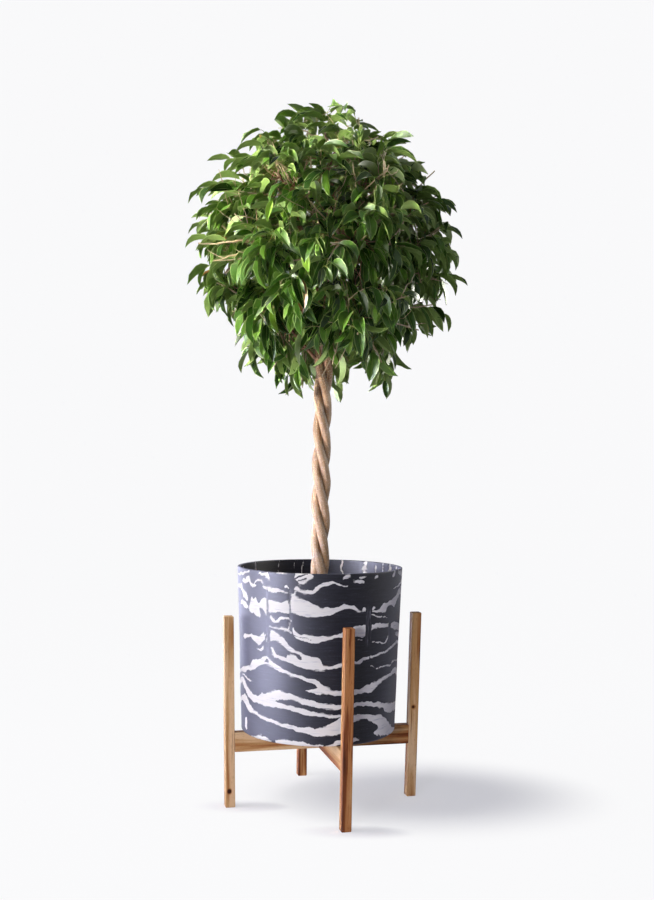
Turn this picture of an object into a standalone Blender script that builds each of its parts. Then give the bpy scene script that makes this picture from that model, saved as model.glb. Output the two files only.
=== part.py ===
"""Potted weeping fig: a ball crown on three twisted stems, in a round planter on a crossed wooden stand.

Metres, +Z up. The origin is on the floor under the stand's middle, and the two bars of the stand lie along X and Y.
The planter stands a little off the middle, to the left, and everything that grows in it is worked out from the
planter's own axis and then moved there.
"""

import math

import bmesh
import bpy
import numpy as np
from mathutils import Matrix, Vector
from mathutils.bvhtree import BVHTree

# ---------------------------------------------------------------- sizes
GAP = 0.0003  # clearance between pieces that rest on or fit into each other

LEG_SIDE = 0.0181
LEG_HEIGHT = 0.3517
LEG_RADIUS = 0.1748  # from the middle of the stand to a leg's middle, at the floor
LEG_SPLAY = math.tan(math.radians(1.3))  # the legs lean outwards
EDGE_EASE = 0.0012

BAR_BOTTOM = 0.1015
BAR_TOP = 0.1372
BAR_WIDTH = 0.0181

DOWEL_RADIUS = 0.004
DOWEL_LENGTH = 0.034
DOWEL_IN_LEG = 0.012
DOWEL_OFFSET = 0.009  # above and below the bar's middle

POT_BOTTOM = BAR_TOP + GAP
POT_HEIGHT = 0.3046
POT_RIM_RADIUS = 0.155
POT_BASE_RADIUS = 0.144
POT_WALL = 0.0065
POT_FLOOR = 0.007
POT_SEGMENTS = 48
DRAIN_RADIUS = 0.006
DRAIN_AT = 0.075

SOIL_BELOW_RIM = 0.058
SOIL_CROWN = 0.010  # how much higher the soil is at the stems

STEM_RADIUS = 0.0078
STEM_TIP_RADIUS = 0.0032
ROPE_RADIUS = 0.0097  # from the trunk's middle to a stem's middle
ROPE_PITCH = 0.21
STEM_BOTTOM = 0.310
ROPE_TOP = 0.900
STEM_TOP = 1.180
LEADER_SPREAD = 0.070

PLANT_AT = (-0.0086, 0.0021)  # where the planter's axis is
CROWN_CENTRE = (0.0077, -0.0019, 1.042)  # from the planter's axis
CROWN_RADIUS = 0.266
CROWN_HALF_HEIGHT = 0.286
SPRAY_THICKNESS = 0.011
SPRAY_EDGE = 0.005
SPRAY_GAP = math.radians(1.6)
# each ring of sprays: top and bottom angle from the crown's top, number of sprays, turn of the first
SPRAY_RINGS = (
    (7.0, 37.0, 3, 20.0),
    (37.0, 73.0, 5, 8.0),
    (73.0, 109.0, 6, 34.0),
    (109.0, 160.0, 4, 12.0),
)
BRANCH_RADIUS = 0.0040
BRANCH_TIP_RADIUS = 0.0022
BRANCH_TILT = math.radians(38.0)

# colour (sRGB), roughness, metallic
FINISHES = {
    "wood": ((0.55, 0.40, 0.26), 0.45, 0.0),
    "dowel_wood": ((0.78, 0.66, 0.48), 0.60, 0.0),
    "planter": ((0.23, 0.23, 0.27), 0.50, 0.0),
    "soil": ((0.16, 0.11, 0.08), 0.95, 0.0),
    "bark": ((0.66, 0.55, 0.44), 0.75, 0.0),
    "foliage": ((0.20, 0.36, 0.15), 0.45, 0.0),
}


# ---------------------------------------------------------------- helpers
def linear(c):
    """The linear value of an sRGB channel."""
    return c / 12.92 if c <= 0.04045 else ((c + 0.055) / 1.055) ** 2.4


def finish(obj, kind):
    """Give obj its own Principled material of this kind."""
    colour, roughness, metallic = FINISHES[kind]
    mat = bpy.data.materials.new(f"{obj.name}_{kind}")
    mat.use_nodes = True
    bsdf = mat.node_tree.nodes["Principled BSDF"]
    bsdf.inputs["Base Color"].default_value = (*[linear(c) for c in colour], 1.0)
    bsdf.inputs["Roughness"].default_value = roughness
    bsdf.inputs["Metallic"].default_value = metallic
    obj.data.materials.append(mat)


def make(name, kind, vertices, faces, smooth_deg=None):
    """A named object of this mesh, with its faces turned outwards."""
    mesh = bpy.data.meshes.new(name)
    mesh.from_pydata([tuple(map(float, v)) for v in vertices], [], faces)
    bm = bmesh.new()
    bm.from_mesh(mesh)
    bmesh.ops.recalc_face_normals(bm, faces=bm.faces)
    bm.to_mesh(mesh)
    bm.free()
    if smooth_deg is not None:
        mesh.shade_smooth()
        mesh.set_sharp_from_angle(angle=math.radians(smooth_deg))
    obj = bpy.data.objects.new(name, mesh)
    bpy.context.scene.collection.objects.link(obj)
    finish(obj, kind)
    return obj


def cut(obj, cutters):
    """Take the cutters' solids out of obj and delete them."""
    for cutter in cutters:
        mod = obj.modifiers.new("cut", "BOOLEAN")
        mod.operation = "DIFFERENCE"
        mod.solver = "EXACT"
        mod.object = cutter
    deps = bpy.context.evaluated_depsgraph_get()
    mesh = bpy.data.meshes.new_from_object(obj.evaluated_get(deps))
    obj.modifiers.clear()
    old = obj.data
    obj.data = mesh
    bpy.data.meshes.remove(old)
    for cutter in cutters:
        bpy.data.objects.remove(cutter, do_unlink=True)


def cutter(name, vertices, faces):
    """A closed solid to cut with."""
    mesh = bpy.data.meshes.new(name)
    mesh.from_pydata([tuple(map(float, v)) for v in vertices], [], faces)
    bm = bmesh.new()
    bm.from_mesh(mesh)
    bmesh.ops.recalc_face_normals(bm, faces=bm.faces)
    bm.to_mesh(mesh)
    bm.free()
    obj = bpy.data.objects.new(name, mesh)
    bpy.context.scene.collection.objects.link(obj)
    obj.hide_render = True
    obj.display_type = "WIRE"
    return obj


def rod_mesh(start, end, radius, sides):
    """Vertices and faces of a straight rod with flat ends."""
    return tube_mesh(np.array([start, end], float), [radius, radius], sides)


def tube_mesh(path, radii, sides, level_start=False):
    """Vertices and faces of a round tube swept along path, with flat ends."""
    path = np.asarray(path, float)
    tangents = np.gradient(path, axis=0)
    if level_start:
        tangents[0] = (0.0, 0.0, 1.0)
    tangents /= np.linalg.norm(tangents, axis=1)[:, None]
    side = np.cross(tangents[0], (0.0, 0.0, 1.0))
    if np.linalg.norm(side) < 0.2:
        side = np.cross(tangents[0], (0.0, 1.0, 0.0))
    turns = np.arange(sides) * 2 * math.pi / sides
    vertices = []
    for point, tangent, radius in zip(path, tangents, radii):
        side = side - tangent * side.dot(tangent)
        side /= np.linalg.norm(side)
        other = np.cross(tangent, side)
        ring = np.outer(np.cos(turns), side) + np.outer(np.sin(turns), other)
        vertices.extend(point + radius * ring)
    faces = []
    for i in range(len(path) - 1):
        for j in range(sides):
            k = (j + 1) % sides
            a, b = i * sides, (i + 1) * sides
            faces.append((a + j, a + k, b + k, b + j))
    last = (len(path) - 1) * sides
    faces.append(tuple(reversed(range(sides))))
    faces.append(tuple(last + j for j in range(sides)))
    return vertices, faces


def revolve_mesh(profile, sides):
    """Vertices and faces of a profile of (radius, height) from pole to pole, turned round Z."""
    turns = np.arange(sides) * 2 * math.pi / sides
    vertices = [(0.0, 0.0, profile[0][1])]
    for radius, height in profile[1:-1]:
        vertices.extend((radius * math.cos(t), radius * math.sin(t), height) for t in turns)
    vertices.append((0.0, 0.0, profile[-1][1]))
    faces = []
    rings = len(profile) - 2
    for j in range(sides):
        k = (j + 1) % sides
        faces.append((0, 1 + k, 1 + j))
        for i in range(rings - 1):
            a, b = 1 + i * sides, 1 + (i + 1) * sides
            faces.append((a + j, a + k, b + k, b + j))
        a = 1 + (rings - 1) * sides
        faces.append((a + j, a + k, len(vertices) - 1))
    return vertices, faces


def bevelled_box(low, high, ease):
    """A bmesh box between two corners with eased edges."""
    bm = bmesh.new()
    bmesh.ops.create_cube(bm, size=1.0)
    low, high = Vector(low), Vector(high)
    for v in bm.verts:
        v.co = Vector(l + (c + 0.5) * (h - l) for l, h, c in zip(low, high, v.co))
    bmesh.ops.bevel(
        bm, geom=bm.edges[:], offset=ease, offset_type="OFFSET", segments=1, profile=0.5, affect="EDGES"
    )
    return bm


def box_cutter(name, low, high):
    """A plain box to cut with."""
    x, y, z = zip(low, high)
    vertices = [(a, b, c) for a in x for b in y for c in z]
    faces = [(0, 1, 3, 2), (4, 6, 7, 5), (0, 4, 5, 1), (2, 3, 7, 6), (0, 2, 6, 4), (1, 5, 7, 3)]
    return cutter(name, vertices, faces)


# ---------------------------------------------------------------- stand
SIDES = {"right": (1, 0), "back": (0, 1), "left": (-1, 0), "front": (0, -1)}


def leg_shift(z):
    """How far outwards the leg's middle has moved at height z."""
    return LEG_SPLAY * z


def inner_face(z):
    """Distance from the stand's middle to a leg's inner face at height z."""
    return LEG_RADIUS + leg_shift(z) - LEG_SIDE / 2


def dowel_heights():
    middle = (BAR_BOTTOM + BAR_TOP) / 2
    return {"upper": middle + DOWEL_OFFSET, "lower": middle - DOWEL_OFFSET}


def dowel_span(height):
    """Inner and outer end of a dowel, as distances from the stand's middle."""
    outer = inner_face(height) + DOWEL_IN_LEG
    return outer - DOWEL_LENGTH, outer


def dowel_holes(direction):
    """Cutters for one joint's two dowel holes, a little longer and wider than the dowels."""
    out = Vector((*direction, 0.0))
    holes = []
    for level, height in dowel_heights().items():
        near, far = dowel_span(height)
        start = out * (near - GAP) + Vector((0, 0, height))
        end = out * (far + GAP) + Vector((0, 0, height))
        holes.append(cutter(f"hole_{level}", *rod_mesh(start, end, DOWEL_RADIUS + 0.0002, 16)))
    return holes


def build_leg(side, direction):
    """A square leg that leans outwards, with a level foot and top."""
    half = LEG_SIDE / 2
    bm = bevelled_box((-half, -half, 0.0), (half, half, LEG_HEIGHT), EDGE_EASE)
    for v in bm.verts:
        reach = LEG_RADIUS + leg_shift(v.co.z)
        v.co.x += direction[0] * reach
        v.co.y += direction[1] * reach
    name = f"leg_{side}"
    mesh = bpy.data.meshes.new(name)
    bm.to_mesh(mesh)
    bm.free()
    obj = bpy.data.objects.new(name, mesh)
    bpy.context.scene.collection.objects.link(obj)
    finish(obj, "wood")
    cut(obj, dowel_holes(direction))
    obj.data.shade_smooth()
    obj.data.set_sharp_from_angle(angle=math.radians(30))


def build_bar(name, along_x):
    """One of the two crossed bars, with ends that follow the legs' lean and its half of the lap joint."""
    half = BAR_WIDTH / 2
    end = inner_face(BAR_BOTTOM)
    if along_x:
        bm = bevelled_box((-end, -half, BAR_BOTTOM), (end, half, BAR_TOP), EDGE_EASE * 0.7)
    else:
        bm = bevelled_box((-half, -end, BAR_BOTTOM), (half, end, BAR_TOP), EDGE_EASE * 0.7)
    axis = 0 if along_x else 1
    for v in bm.verts:
        stretch = (inner_face(v.co.z) - GAP) / end
        v.co[axis] *= stretch
    mesh = bpy.data.meshes.new(name)
    bm.to_mesh(mesh)
    bm.free()
    obj = bpy.data.objects.new(name, mesh)
    bpy.context.scene.collection.objects.link(obj)
    finish(obj, "wood")
    middle = (BAR_BOTTOM + BAR_TOP) / 2
    notch = half + GAP
    if along_x:
        low, high = (-notch, -0.03, middle - GAP / 2), (notch, 0.03, BAR_TOP + 0.01)
        directions = (SIDES["left"], SIDES["right"])
    else:
        low, high = (-0.03, -notch, BAR_BOTTOM - 0.01), (0.03, notch, middle + GAP / 2)
        directions = (SIDES["front"], SIDES["back"])
    cutters = [box_cutter("lap", low, high)]
    for direction in directions:
        cutters.extend(dowel_holes(direction))
    cut(obj, cutters)
    obj.data.shade_smooth()
    obj.data.set_sharp_from_angle(angle=math.radians(30))


def build_dowels():
    for side, direction in SIDES.items():
        out = Vector((*direction, 0.0))
        for level, height in dowel_heights().items():
            near, far = dowel_span(height)
            start = out * near + Vector((0, 0, height))
            end = out * far + Vector((0, 0, height))
            make(f"dowel_{side}_{level}", "dowel_wood", *rod_mesh(start, end, DOWEL_RADIUS, 16), 40)


# ---------------------------------------------------------------- planter and soil
def pot_outer(z):
    """Outer radius of the planter's wall at height z."""
    share = (z - POT_BOTTOM) / POT_HEIGHT
    return POT_BASE_RADIUS + (POT_RIM_RADIUS - POT_BASE_RADIUS) * share


def pot_inner(z):
    return pot_outer(z) - POT_WALL


def arc(centre, radius, start_deg, end_deg, steps):
    """Points of a circular arc in the (radius, height) plane."""
    angles = np.radians(np.linspace(start_deg, end_deg, steps))
    return [(centre[0] + radius * math.cos(a), centre[1] + radius * math.sin(a)) for a in angles]


def build_planter():
    """The planter's tapered shell with a flat lip, a floor and four drain holes."""
    top = POT_BOTTOM + POT_HEIGHT
    foot, lip = 0.004, 0.0012
    floor = POT_BOTTOM + POT_FLOOR
    profile = [(0.0, POT_BOTTOM)]
    profile += arc((pot_outer(POT_BOTTOM + foot) - foot, POT_BOTTOM + foot), foot, -90, 0, 4)
    profile += arc((POT_RIM_RADIUS - lip, top - lip), lip, 0, 90, 3)
    profile += arc((POT_RIM_RADIUS - POT_WALL + lip, top - lip), lip, 90, 180, 3)
    profile += arc((pot_inner(floor + foot) - foot, floor + foot), foot, 0, -90, 4)
    profile += [(0.0, floor)]
    obj = make("planter", "planter", *revolve_mesh(profile, POT_SEGMENTS), 40)
    holes = []
    for i in range(4):
        turn = math.radians(45 + 90 * i)
        x, y = DRAIN_AT * math.cos(turn), DRAIN_AT * math.sin(turn)
        start, end = (x, y, POT_BOTTOM - 0.01), (x, y, floor + 0.01)
        holes.append(cutter(f"drain_{i}", *rod_mesh(start, end, DRAIN_RADIUS, 12)))
    cut(obj, holes)


def build_soil():
    """The soil, domed towards the stems, with the well that holds them."""
    rim = POT_BOTTOM + POT_HEIGHT
    edge = rim - SOIL_BELOW_RIM
    low = POT_BOTTOM + POT_FLOOR + GAP
    well = ROPE_RADIUS + STEM_RADIUS + GAP
    wide = edge - 0.0005
    profile = [(0.0, low), (pot_inner(low) - 0.0045, low), (pot_inner(low + 0.005) - GAP - 0.0002, low + 0.005)]
    profile.append((pot_inner(wide) - GAP - 0.0003, wide))
    for share in (0.85, 0.6, 0.35):
        radius = well + (pot_inner(edge) - well) * share
        profile.append((radius, edge + SOIL_CROWN * math.cos(share * math.pi / 2)))
    profile += [(well, edge + SOIL_CROWN), (well, STEM_BOTTOM - GAP), (0.0, STEM_BOTTOM - GAP)]
    make("soil", "soil", *revolve_mesh(profile, POT_SEGMENTS), 30)


# ---------------------------------------------------------------- stems
def trunk_lean(z):
    """How far the trunk's middle has moved from the planter's axis at height z, so that it meets the crown's middle."""
    share = min(max(0.0, (z - 0.45) / (CROWN_CENTRE[2] - 0.45)), 1.0) ** 2
    return np.array(CROWN_CENTRE[:2]) * share


def stem_point(index, z):
    """Middle of stem number index at height z: a left-handed rope that opens into leaders in the crown."""
    turn = 2 * math.pi * (index / 3 - (min(z, ROPE_TOP) - STEM_BOTTOM) / ROPE_PITCH)
    opened = max(0.0, (z - ROPE_TOP) / (STEM_TOP - ROPE_TOP))
    turn -= 0.9 * opened
    reach = ROPE_RADIUS + LEADER_SPREAD * opened**1.25
    lean = trunk_lean(z)
    return np.array((reach * math.cos(turn) + lean[0], reach * math.sin(turn) + lean[1], z))


def stem_radius(z):
    opened = max(0.0, (z - ROPE_TOP) / (STEM_TOP - ROPE_TOP))
    return STEM_RADIUS + (STEM_TIP_RADIUS - STEM_RADIUS) * opened


def stem_mesh(index):
    """Vertices and faces of stem number index."""
    heights = np.concatenate(
        (np.linspace(STEM_BOTTOM, ROPE_TOP, 38), np.linspace(ROPE_TOP, STEM_TOP, 9)[1:])
    )
    path = [stem_point(index, z) for z in heights]
    radii = [stem_radius(z) for z in heights]
    vertices, faces = tube_mesh(path, radii, 10, level_start=True)
    return [tuple(map(float, v)) for v in vertices], faces


def build_stems():
    for index, letter in enumerate("abc"):
        make(f"stem_{letter}", "bark", *stem_mesh(index), 60)


# ---------------------------------------------------------------- crown
def crown_point(polar, turn, scale, inset):
    """Point of the crown's surface at this polar angle and turn, scaled and moved inwards by inset."""
    direction = np.array((math.sin(polar) * math.cos(turn), math.sin(polar) * math.sin(turn), math.cos(polar)))
    half = np.array((CROWN_RADIUS, CROWN_RADIUS, CROWN_HALF_HEIGHT))
    return np.array(CROWN_CENTRE) + direction * (half * scale - inset)


def spray_cells():
    """Middle and half size, in polar angle and turn, of each spray's share of the crown."""
    cells = []
    for top, bottom, count, first in SPRAY_RINGS:
        for i in range(count):
            polar = math.radians((top + bottom) / 2)
            half_polar = math.radians((bottom - top) / 2) - SPRAY_GAP / 2
            turn = math.radians(first) + 2 * math.pi * i / count
            half_turn = math.pi / count - SPRAY_GAP / (2 * math.sin(polar))
            cells.append((polar, half_polar, turn, half_turn))
    return cells


def build_spray(name, cell, rings=3, sides=18):
    """One spray of leaves as a thick curved plate with a lobed outline."""
    polar, half_polar, turn, half_turn = cell
    outer, inner = [crown_point(polar, turn, 1.0, 0.0)], [crown_point(polar, turn, 1.0, SPRAY_THICKNESS)]
    for ring in range(1, rings + 1):
        for k in range(sides):
            psi = 2 * math.pi * k / sides
            c, s = math.cos(psi), math.sin(psi)
            square = (abs(c) ** 5 + abs(s) ** 5) ** -0.2
            lobe = 1.0 if k % 2 == 0 or ring < rings else 0.93
            reach = ring / rings * square * lobe
            p = polar + half_polar * reach * s
            t = turn + half_turn * reach * c
            far = (ring / rings) ** 2
            scale = 1.0 - 0.055 * far
            thick = SPRAY_THICKNESS + (SPRAY_EDGE - SPRAY_THICKNESS) * far
            outer.append(crown_point(p, t, scale, 0.0))
            inner.append(crown_point(p, t, scale, thick))
    base = len(outer)
    faces = []
    for side, flip in ((0, False), (base, True)):
        for k in range(sides):
            n = (k + 1) % sides
            found = [(side, side + 1 + k, side + 1 + n)]
            for ring in range(rings - 1):
                a, b = side + 1 + ring * sides, side + 1 + (ring + 1) * sides
                found.append((a + k, b + k, b + n))
                found.append((a + k, b + n, a + n))
            faces.extend(tuple(reversed(f)) if flip else f for f in found)
    last = 1 + (rings - 1) * sides
    for k in range(sides):
        n = (k + 1) % sides
        faces.append((last + k, base + last + k, base + last + n))
        faces.append((last + k, base + last + n, last + n))
    make(name, "foliage", outer + inner, faces, 50)


def branch_starts(cells):
    """For each spray, the stem and height its branch grows from, spread out along the stems."""
    bands = {SPRAY_RINGS[0]: 1.13, SPRAY_RINGS[1]: 1.05, SPRAY_RINGS[2]: 0.95, SPRAY_RINGS[3]: 0.87}
    middles = []
    for ring, middle in bands.items():
        middles += [middle] * ring[2]
    used, starts = [], [None] * len(cells)
    order = sorted(range(len(cells)), key=lambda i: middles[i])
    for i in order:
        turn = cells[i][2]
        best = None
        for index in range(3):
            for z in np.arange(middles[i] - 0.045, middles[i] + 0.0451, 0.005):
                centre = stem_point(index, z)
                axis = trunk_lean(z)
                facing = math.atan2(centre[1] - axis[1], centre[0] - axis[0])
                miss = abs((facing - turn + math.pi) % (2 * math.pi) - math.pi)
                crowd = sum(max(0.0, 0.03 - abs(z - u[1])) for u in used if u[0] == index)
                cost = miss + 60 * crowd
                if best is None or cost < best[0]:
                    best = (cost, index, z)
        starts[i] = best[1:]
        used.append(best[1:])
    return starts


def branch_root(index, z, level, leave):
    """Where a branch's flat end just clears the stem that carries it."""
    tree = BVHTree.FromPolygons(*stem_mesh(index))
    side = np.cross(leave, level)
    side /= np.linalg.norm(side)
    up = np.cross(side, leave)
    turns = np.linspace(0, 2 * math.pi, 24, endpoint=False)
    rim = BRANCH_RADIUS * (np.outer(np.cos(turns), side) + np.outer(np.sin(turns), up))
    disc = np.concatenate((rim, rim * 0.5, rim[:1] * 0.0))
    reach = stem_radius(z) + 0.009
    while True:
        root = stem_point(index, z) + level * reach
        near = min(tree.find_nearest(Vector(p))[3] for p in root + disc)
        if near < GAP:
            return root
        reach -= 0.00005


def build_branch(name, cell, start):
    """A tapered branch from a stem's surface to the inner face of its spray."""
    polar, _, turn, _ = cell
    index, z = start
    level = np.array((math.cos(turn), math.sin(turn), 0.0))
    tilt = BRANCH_TILT if polar > math.radians(45) else math.radians(60)
    leave = level * math.cos(tilt) + np.array((0, 0, math.sin(tilt)))
    root = branch_root(index, z, level, leave)
    tip = crown_point(polar, turn, 1.0, SPRAY_THICKNESS + 0.0006)
    normal = tip - crown_point(polar, turn, 1.0, SPRAY_THICKNESS + 0.02)
    normal /= np.linalg.norm(normal)
    length = np.linalg.norm(tip - root)
    p1 = root + leave * length * 0.35
    p2 = tip - normal * length * 0.35
    path, radii = [], []
    for t in np.linspace(0, 1, 9):
        a, b, c, d = (1 - t) ** 3, 3 * t * (1 - t) ** 2, 3 * t * t * (1 - t), t**3
        path.append(a * root + b * p1 + c * p2 + d * tip)
        radii.append(BRANCH_RADIUS + (BRANCH_TIP_RADIUS - BRANCH_RADIUS) * t)
    make(name, "bark", *tube_mesh(path, radii, 7), 60)


def build_crown():
    cells = spray_cells()
    starts = branch_starts(cells)
    for i, (cell, start) in enumerate(zip(cells, starts), 1):
        build_spray(f"foliage_{i:02d}", cell)
        build_branch(f"branch_{i:02d}", cell, start)


# ---------------------------------------------------------------- the whole part
def main():
    for obj in list(bpy.data.objects):
        bpy.data.objects.remove(obj, do_unlink=True)
    for side, direction in SIDES.items():
        build_leg(side, direction)
    build_bar("bar_left_right", True)
    build_bar("bar_front_back", False)
    build_dowels()
    stand = set(bpy.data.objects)
    build_planter()
    build_soil()
    build_stems()
    build_crown()
    for obj in set(bpy.data.objects) - stand:
        obj.data.transform(Matrix.Translation((*PLANT_AT, 0.0)))


main()
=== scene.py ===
"""Weeping fig with a ball crown on three twisted stems, in a marbled planter on a crossed wooden stand.

Lengths are in metres, +Z is up, and the origin is on the floor under the stand's middle.
"""

import functools
import math

import bpy
import numpy as np
from bpy.props import FloatProperty, FloatVectorProperty, IntProperty, PointerProperty
from mathutils import Matrix, Vector


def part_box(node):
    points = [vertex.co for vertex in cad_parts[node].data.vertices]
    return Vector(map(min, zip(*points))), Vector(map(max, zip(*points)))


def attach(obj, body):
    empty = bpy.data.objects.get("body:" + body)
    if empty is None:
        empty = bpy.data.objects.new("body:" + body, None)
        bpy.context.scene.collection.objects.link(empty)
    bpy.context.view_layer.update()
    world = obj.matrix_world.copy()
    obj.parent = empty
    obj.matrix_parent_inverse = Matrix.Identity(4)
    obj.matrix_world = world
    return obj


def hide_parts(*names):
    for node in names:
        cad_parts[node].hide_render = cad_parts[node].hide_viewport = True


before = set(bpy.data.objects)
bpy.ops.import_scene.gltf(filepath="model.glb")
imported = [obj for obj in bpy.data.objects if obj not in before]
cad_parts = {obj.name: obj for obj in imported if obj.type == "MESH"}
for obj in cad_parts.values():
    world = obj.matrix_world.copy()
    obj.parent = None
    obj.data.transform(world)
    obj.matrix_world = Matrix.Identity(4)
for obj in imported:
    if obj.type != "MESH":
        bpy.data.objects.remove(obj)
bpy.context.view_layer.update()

bl_info = {
    "name": "Potted weeping fig",
    "version": (1, 0, 0),
    "blender": (4, 5, 0),
    "location": "View3D > Sidebar > Weeping fig",
    "description": "Builds the crown, stems, soil, planter, stand and studio of a potted weeping fig",
    "category": "Add Mesh",
}

POT_LOW, POT_HIGH = (np.array(corner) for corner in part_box("planter"))
PLANT_AT = (POT_LOW + POT_HIGH) / 2 * (1, 1, 0)  # where the planter's axis meets the floor
UP = np.array((0.0, 0.0, 1.0))
RIGHT, AWAY = np.array((0.972, -0.235, 0.0)), np.array((0.235, 0.972, 0.0))  # as the camera looks
SPRAYS = 18  # one to each CAD node foliage_01 to foliage_18

# The leaf map's cells are counted along rows: rows 0 to 3 hold upper faces, and row 4 undersides and stalks.
LEAF_COLUMNS, LEAF_ROWS = 10, 5
LIGHT_CELL, YOUNG_CELL, YELLOW_CELL, DRY_CELL, UNDER_CELL, STALK_CELL = 30, 36, 38, 39, 40, 49
CELL_HALF, CELL_LENGTH, CELL_EDGE = 0.46, 0.92, 0.04  # a blade's half width, length and start in its cell
SIDE_VEINS = 22  # from the base of a blade to its tip


# ------------ colours and nodes
COLOUR = {"data_type": "RGBA", "out": 2}  # for a Mix node of colours, which are its inputs 6 and 7
SMOOTH = {"interpolation_type": "SMOOTHSTEP"}
CHOICES = {"Math": "operation", "VectorMath": "operation", "Mix": "blend_type"}  # the word after a full stop


def linear(hex_text):
    """Linear red, green and blue of an sRGB hex colour."""
    values = [int(hex_text[i : i + 2], 16) / 255 for i in (1, 3, 5)]
    return tuple(v / 12.92 if v <= 0.04045 else ((v + 0.055) / 1.055) ** 2.4 for v in values)


def fill(tree, node, inputs):
    """Give a node inputs by name or number: a socket is linked, and a value or an sRGB hex colour is set."""
    for key, value in inputs.items():
        if isinstance(value, bpy.types.NodeSocket):
            tree.links.new(value, node.inputs[key])
        else:
            node.inputs[key].default_value = (*linear(value), 1.0) if isinstance(value, str) else value


def add(tree, kind, *inputs, stops=(), out=0, **settings):
    """Add a shader node with settings, inputs and colour stops. Returns one output, or all if out is None.

    kind is the node's name and, after a full stop, its operation or blend. inputs are in the node's own
    order, or one dictionary of them by name or number.
    """
    kind, _, choice = kind.partition(".")
    made = tree.nodes.new("ShaderNode" + kind)
    if choice:
        settings[CHOICES[kind]] = choice
    for key, value in settings.items():
        setattr(made, key, value)
    if stops:
        elements = made.color_ramp.elements
        while len(elements) < len(stops):
            elements.new(0.5)
        for element, (position, colour) in zip(elements, stops):
            element.position = position
            element.color = (*linear(colour), 1.0) if isinstance(colour, str) else colour
    fill(tree, made, inputs[0] if inputs and isinstance(inputs[0], dict) else dict(enumerate(inputs)))
    return made.outputs if out is None else made.outputs[out]


def new_material(name):
    """An empty material, its node tree and its Principled shader."""
    material = bpy.data.materials.new(name)
    material.use_nodes = True
    return material, material.node_tree, material.node_tree.nodes["Principled BSDF"]


# ------------ mesh helpers
def new_piece(name, vertices, faces, uv=None, sharp_deg=None, replaces=()):
    """A piece from vertex places and faces, an array of corner numbers for each face size, smooth shaded.

    uv holds one place for each corner, in the order of the faces.
    """
    mesh = bpy.data.meshes.new(name)
    vertices = np.asarray(vertices, np.float32).reshape(-1, 3)
    faces = [np.asarray(f, np.int32) for f in faces if len(f)]
    corners = np.concatenate([f.ravel() for f in faces])
    sizes = np.concatenate([np.full(len(f), f.shape[1]) for f in faces])
    mesh.vertices.add(len(vertices))
    mesh.vertices.foreach_set("co", vertices.ravel())
    mesh.loops.add(len(corners))
    mesh.loops.foreach_set("vertex_index", corners)
    mesh.polygons.add(len(sizes))
    mesh.polygons.foreach_set("loop_start", np.concatenate(([0], np.cumsum(sizes)[:-1])).astype(np.int32))
    mesh.update(calc_edges=True)
    if uv is not None:
        mesh.uv_layers.new(name="OFBake").data.foreach_set("uv", np.asarray(uv, np.float32).ravel())
    mesh.shade_smooth()
    if sharp_deg is not None:
        mesh.set_sharp_from_angle(angle=math.radians(sharp_deg))
    piece = bpy.data.objects.new(name, mesh)
    bpy.context.scene.collection.objects.link(piece)
    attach(piece, "root")
    if replaces:
        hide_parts(*replaces)
    return piece


def unit(v):
    """Vectors of length one."""
    return v / np.maximum(np.linalg.norm(v, axis=-1, keepdims=True), 1e-9)


def smooth_noise(points, scale, seed):
    """A smooth wavy value near -1 to 1 at each point: eight sines of random direction and phase, summed."""
    rng = np.random.default_rng(seed)
    directions = unit(rng.normal(size=(8, 3))) * rng.uniform(0.6, 1.6, (8, 1)) * 2 * math.pi / scale
    phases = rng.uniform(0, 2 * math.pi, 8)
    return np.sin(points @ directions.T + phases).sum(-1) / 2.6


def bezier(a, b, c, d, steps):
    """Points along cubic curves whose four control points are given for each curve."""
    t = np.linspace(0, 1, steps)[None, :, None]
    a, b, c, d = (p[:, None, :] for p in (a, b, c, d))
    return (1 - t) ** 3 * a + 3 * t * (1 - t) ** 2 * b + 3 * t * t * (1 - t) * c + t**3 * d


def ring_faces(rings, sides):
    """Quads between rings of points, and triangles from the end rings to the two poles after them."""
    i, j = np.meshgrid(np.arange(rings - 1), np.arange(sides), indexing="ij")
    k = (j + 1) % sides
    quads = np.stack((i * sides + j, i * sides + k, (i + 1) * sides + k, (i + 1) * sides + j),
                     -1).reshape(-1, 4)
    j = np.arange(sides)
    k = (j + 1) % sides
    top = (rings - 1) * sides
    first = np.stack((np.full(sides, rings * sides), k, j), -1)
    last = np.stack((np.full(sides, rings * sides + 1), top + j, top + k), -1)
    return quads, np.concatenate((first, last))


def tubes(paths, radii, sides, ridge=None):
    """Round tubes swept along paths, each ring square to its path, with a pole at each end.

    paths is (tubes, rings, 3) and radii (tubes, rings). ridge gives each side's share of the radius. Returns
    the vertices, the quads and the end triangles.
    """
    count, rings = paths.shape[:2]
    tangents = unit(np.gradient(paths, axis=1))
    chord = unit(paths[:, -1] - paths[:, 0])
    helper = np.where(np.abs(chord[:, 2:]) < 0.8, UP[None], np.array([[1.0, 0.0, 0.0]]))
    reference = unit(np.cross(chord, helper))[:, None]
    side = unit(reference - tangents * (reference * tangents).sum(-1, keepdims=True))
    other = np.cross(tangents, side)
    turn = np.arange(sides) * 2 * math.pi / sides
    round_ = np.cos(turn)[:, None] * side[:, :, None] + np.sin(turn)[:, None] * other[:, :, None]
    share = 1.0 if ridge is None else ridge
    body = paths[:, :, None] + round_ * (radii[:, :, None] * share)[..., None]
    vertices = np.concatenate((body.reshape(count, -1, 3), paths[:, :1], paths[:, -1:]), 1)
    quads, ends = ring_faces(rings, sides)
    start = (np.arange(count) * (rings * sides + 2))[:, None, None]
    return vertices.reshape(-1, 3), (quads + start).reshape(-1, 4), (ends + start).reshape(-1, 3)


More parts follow.
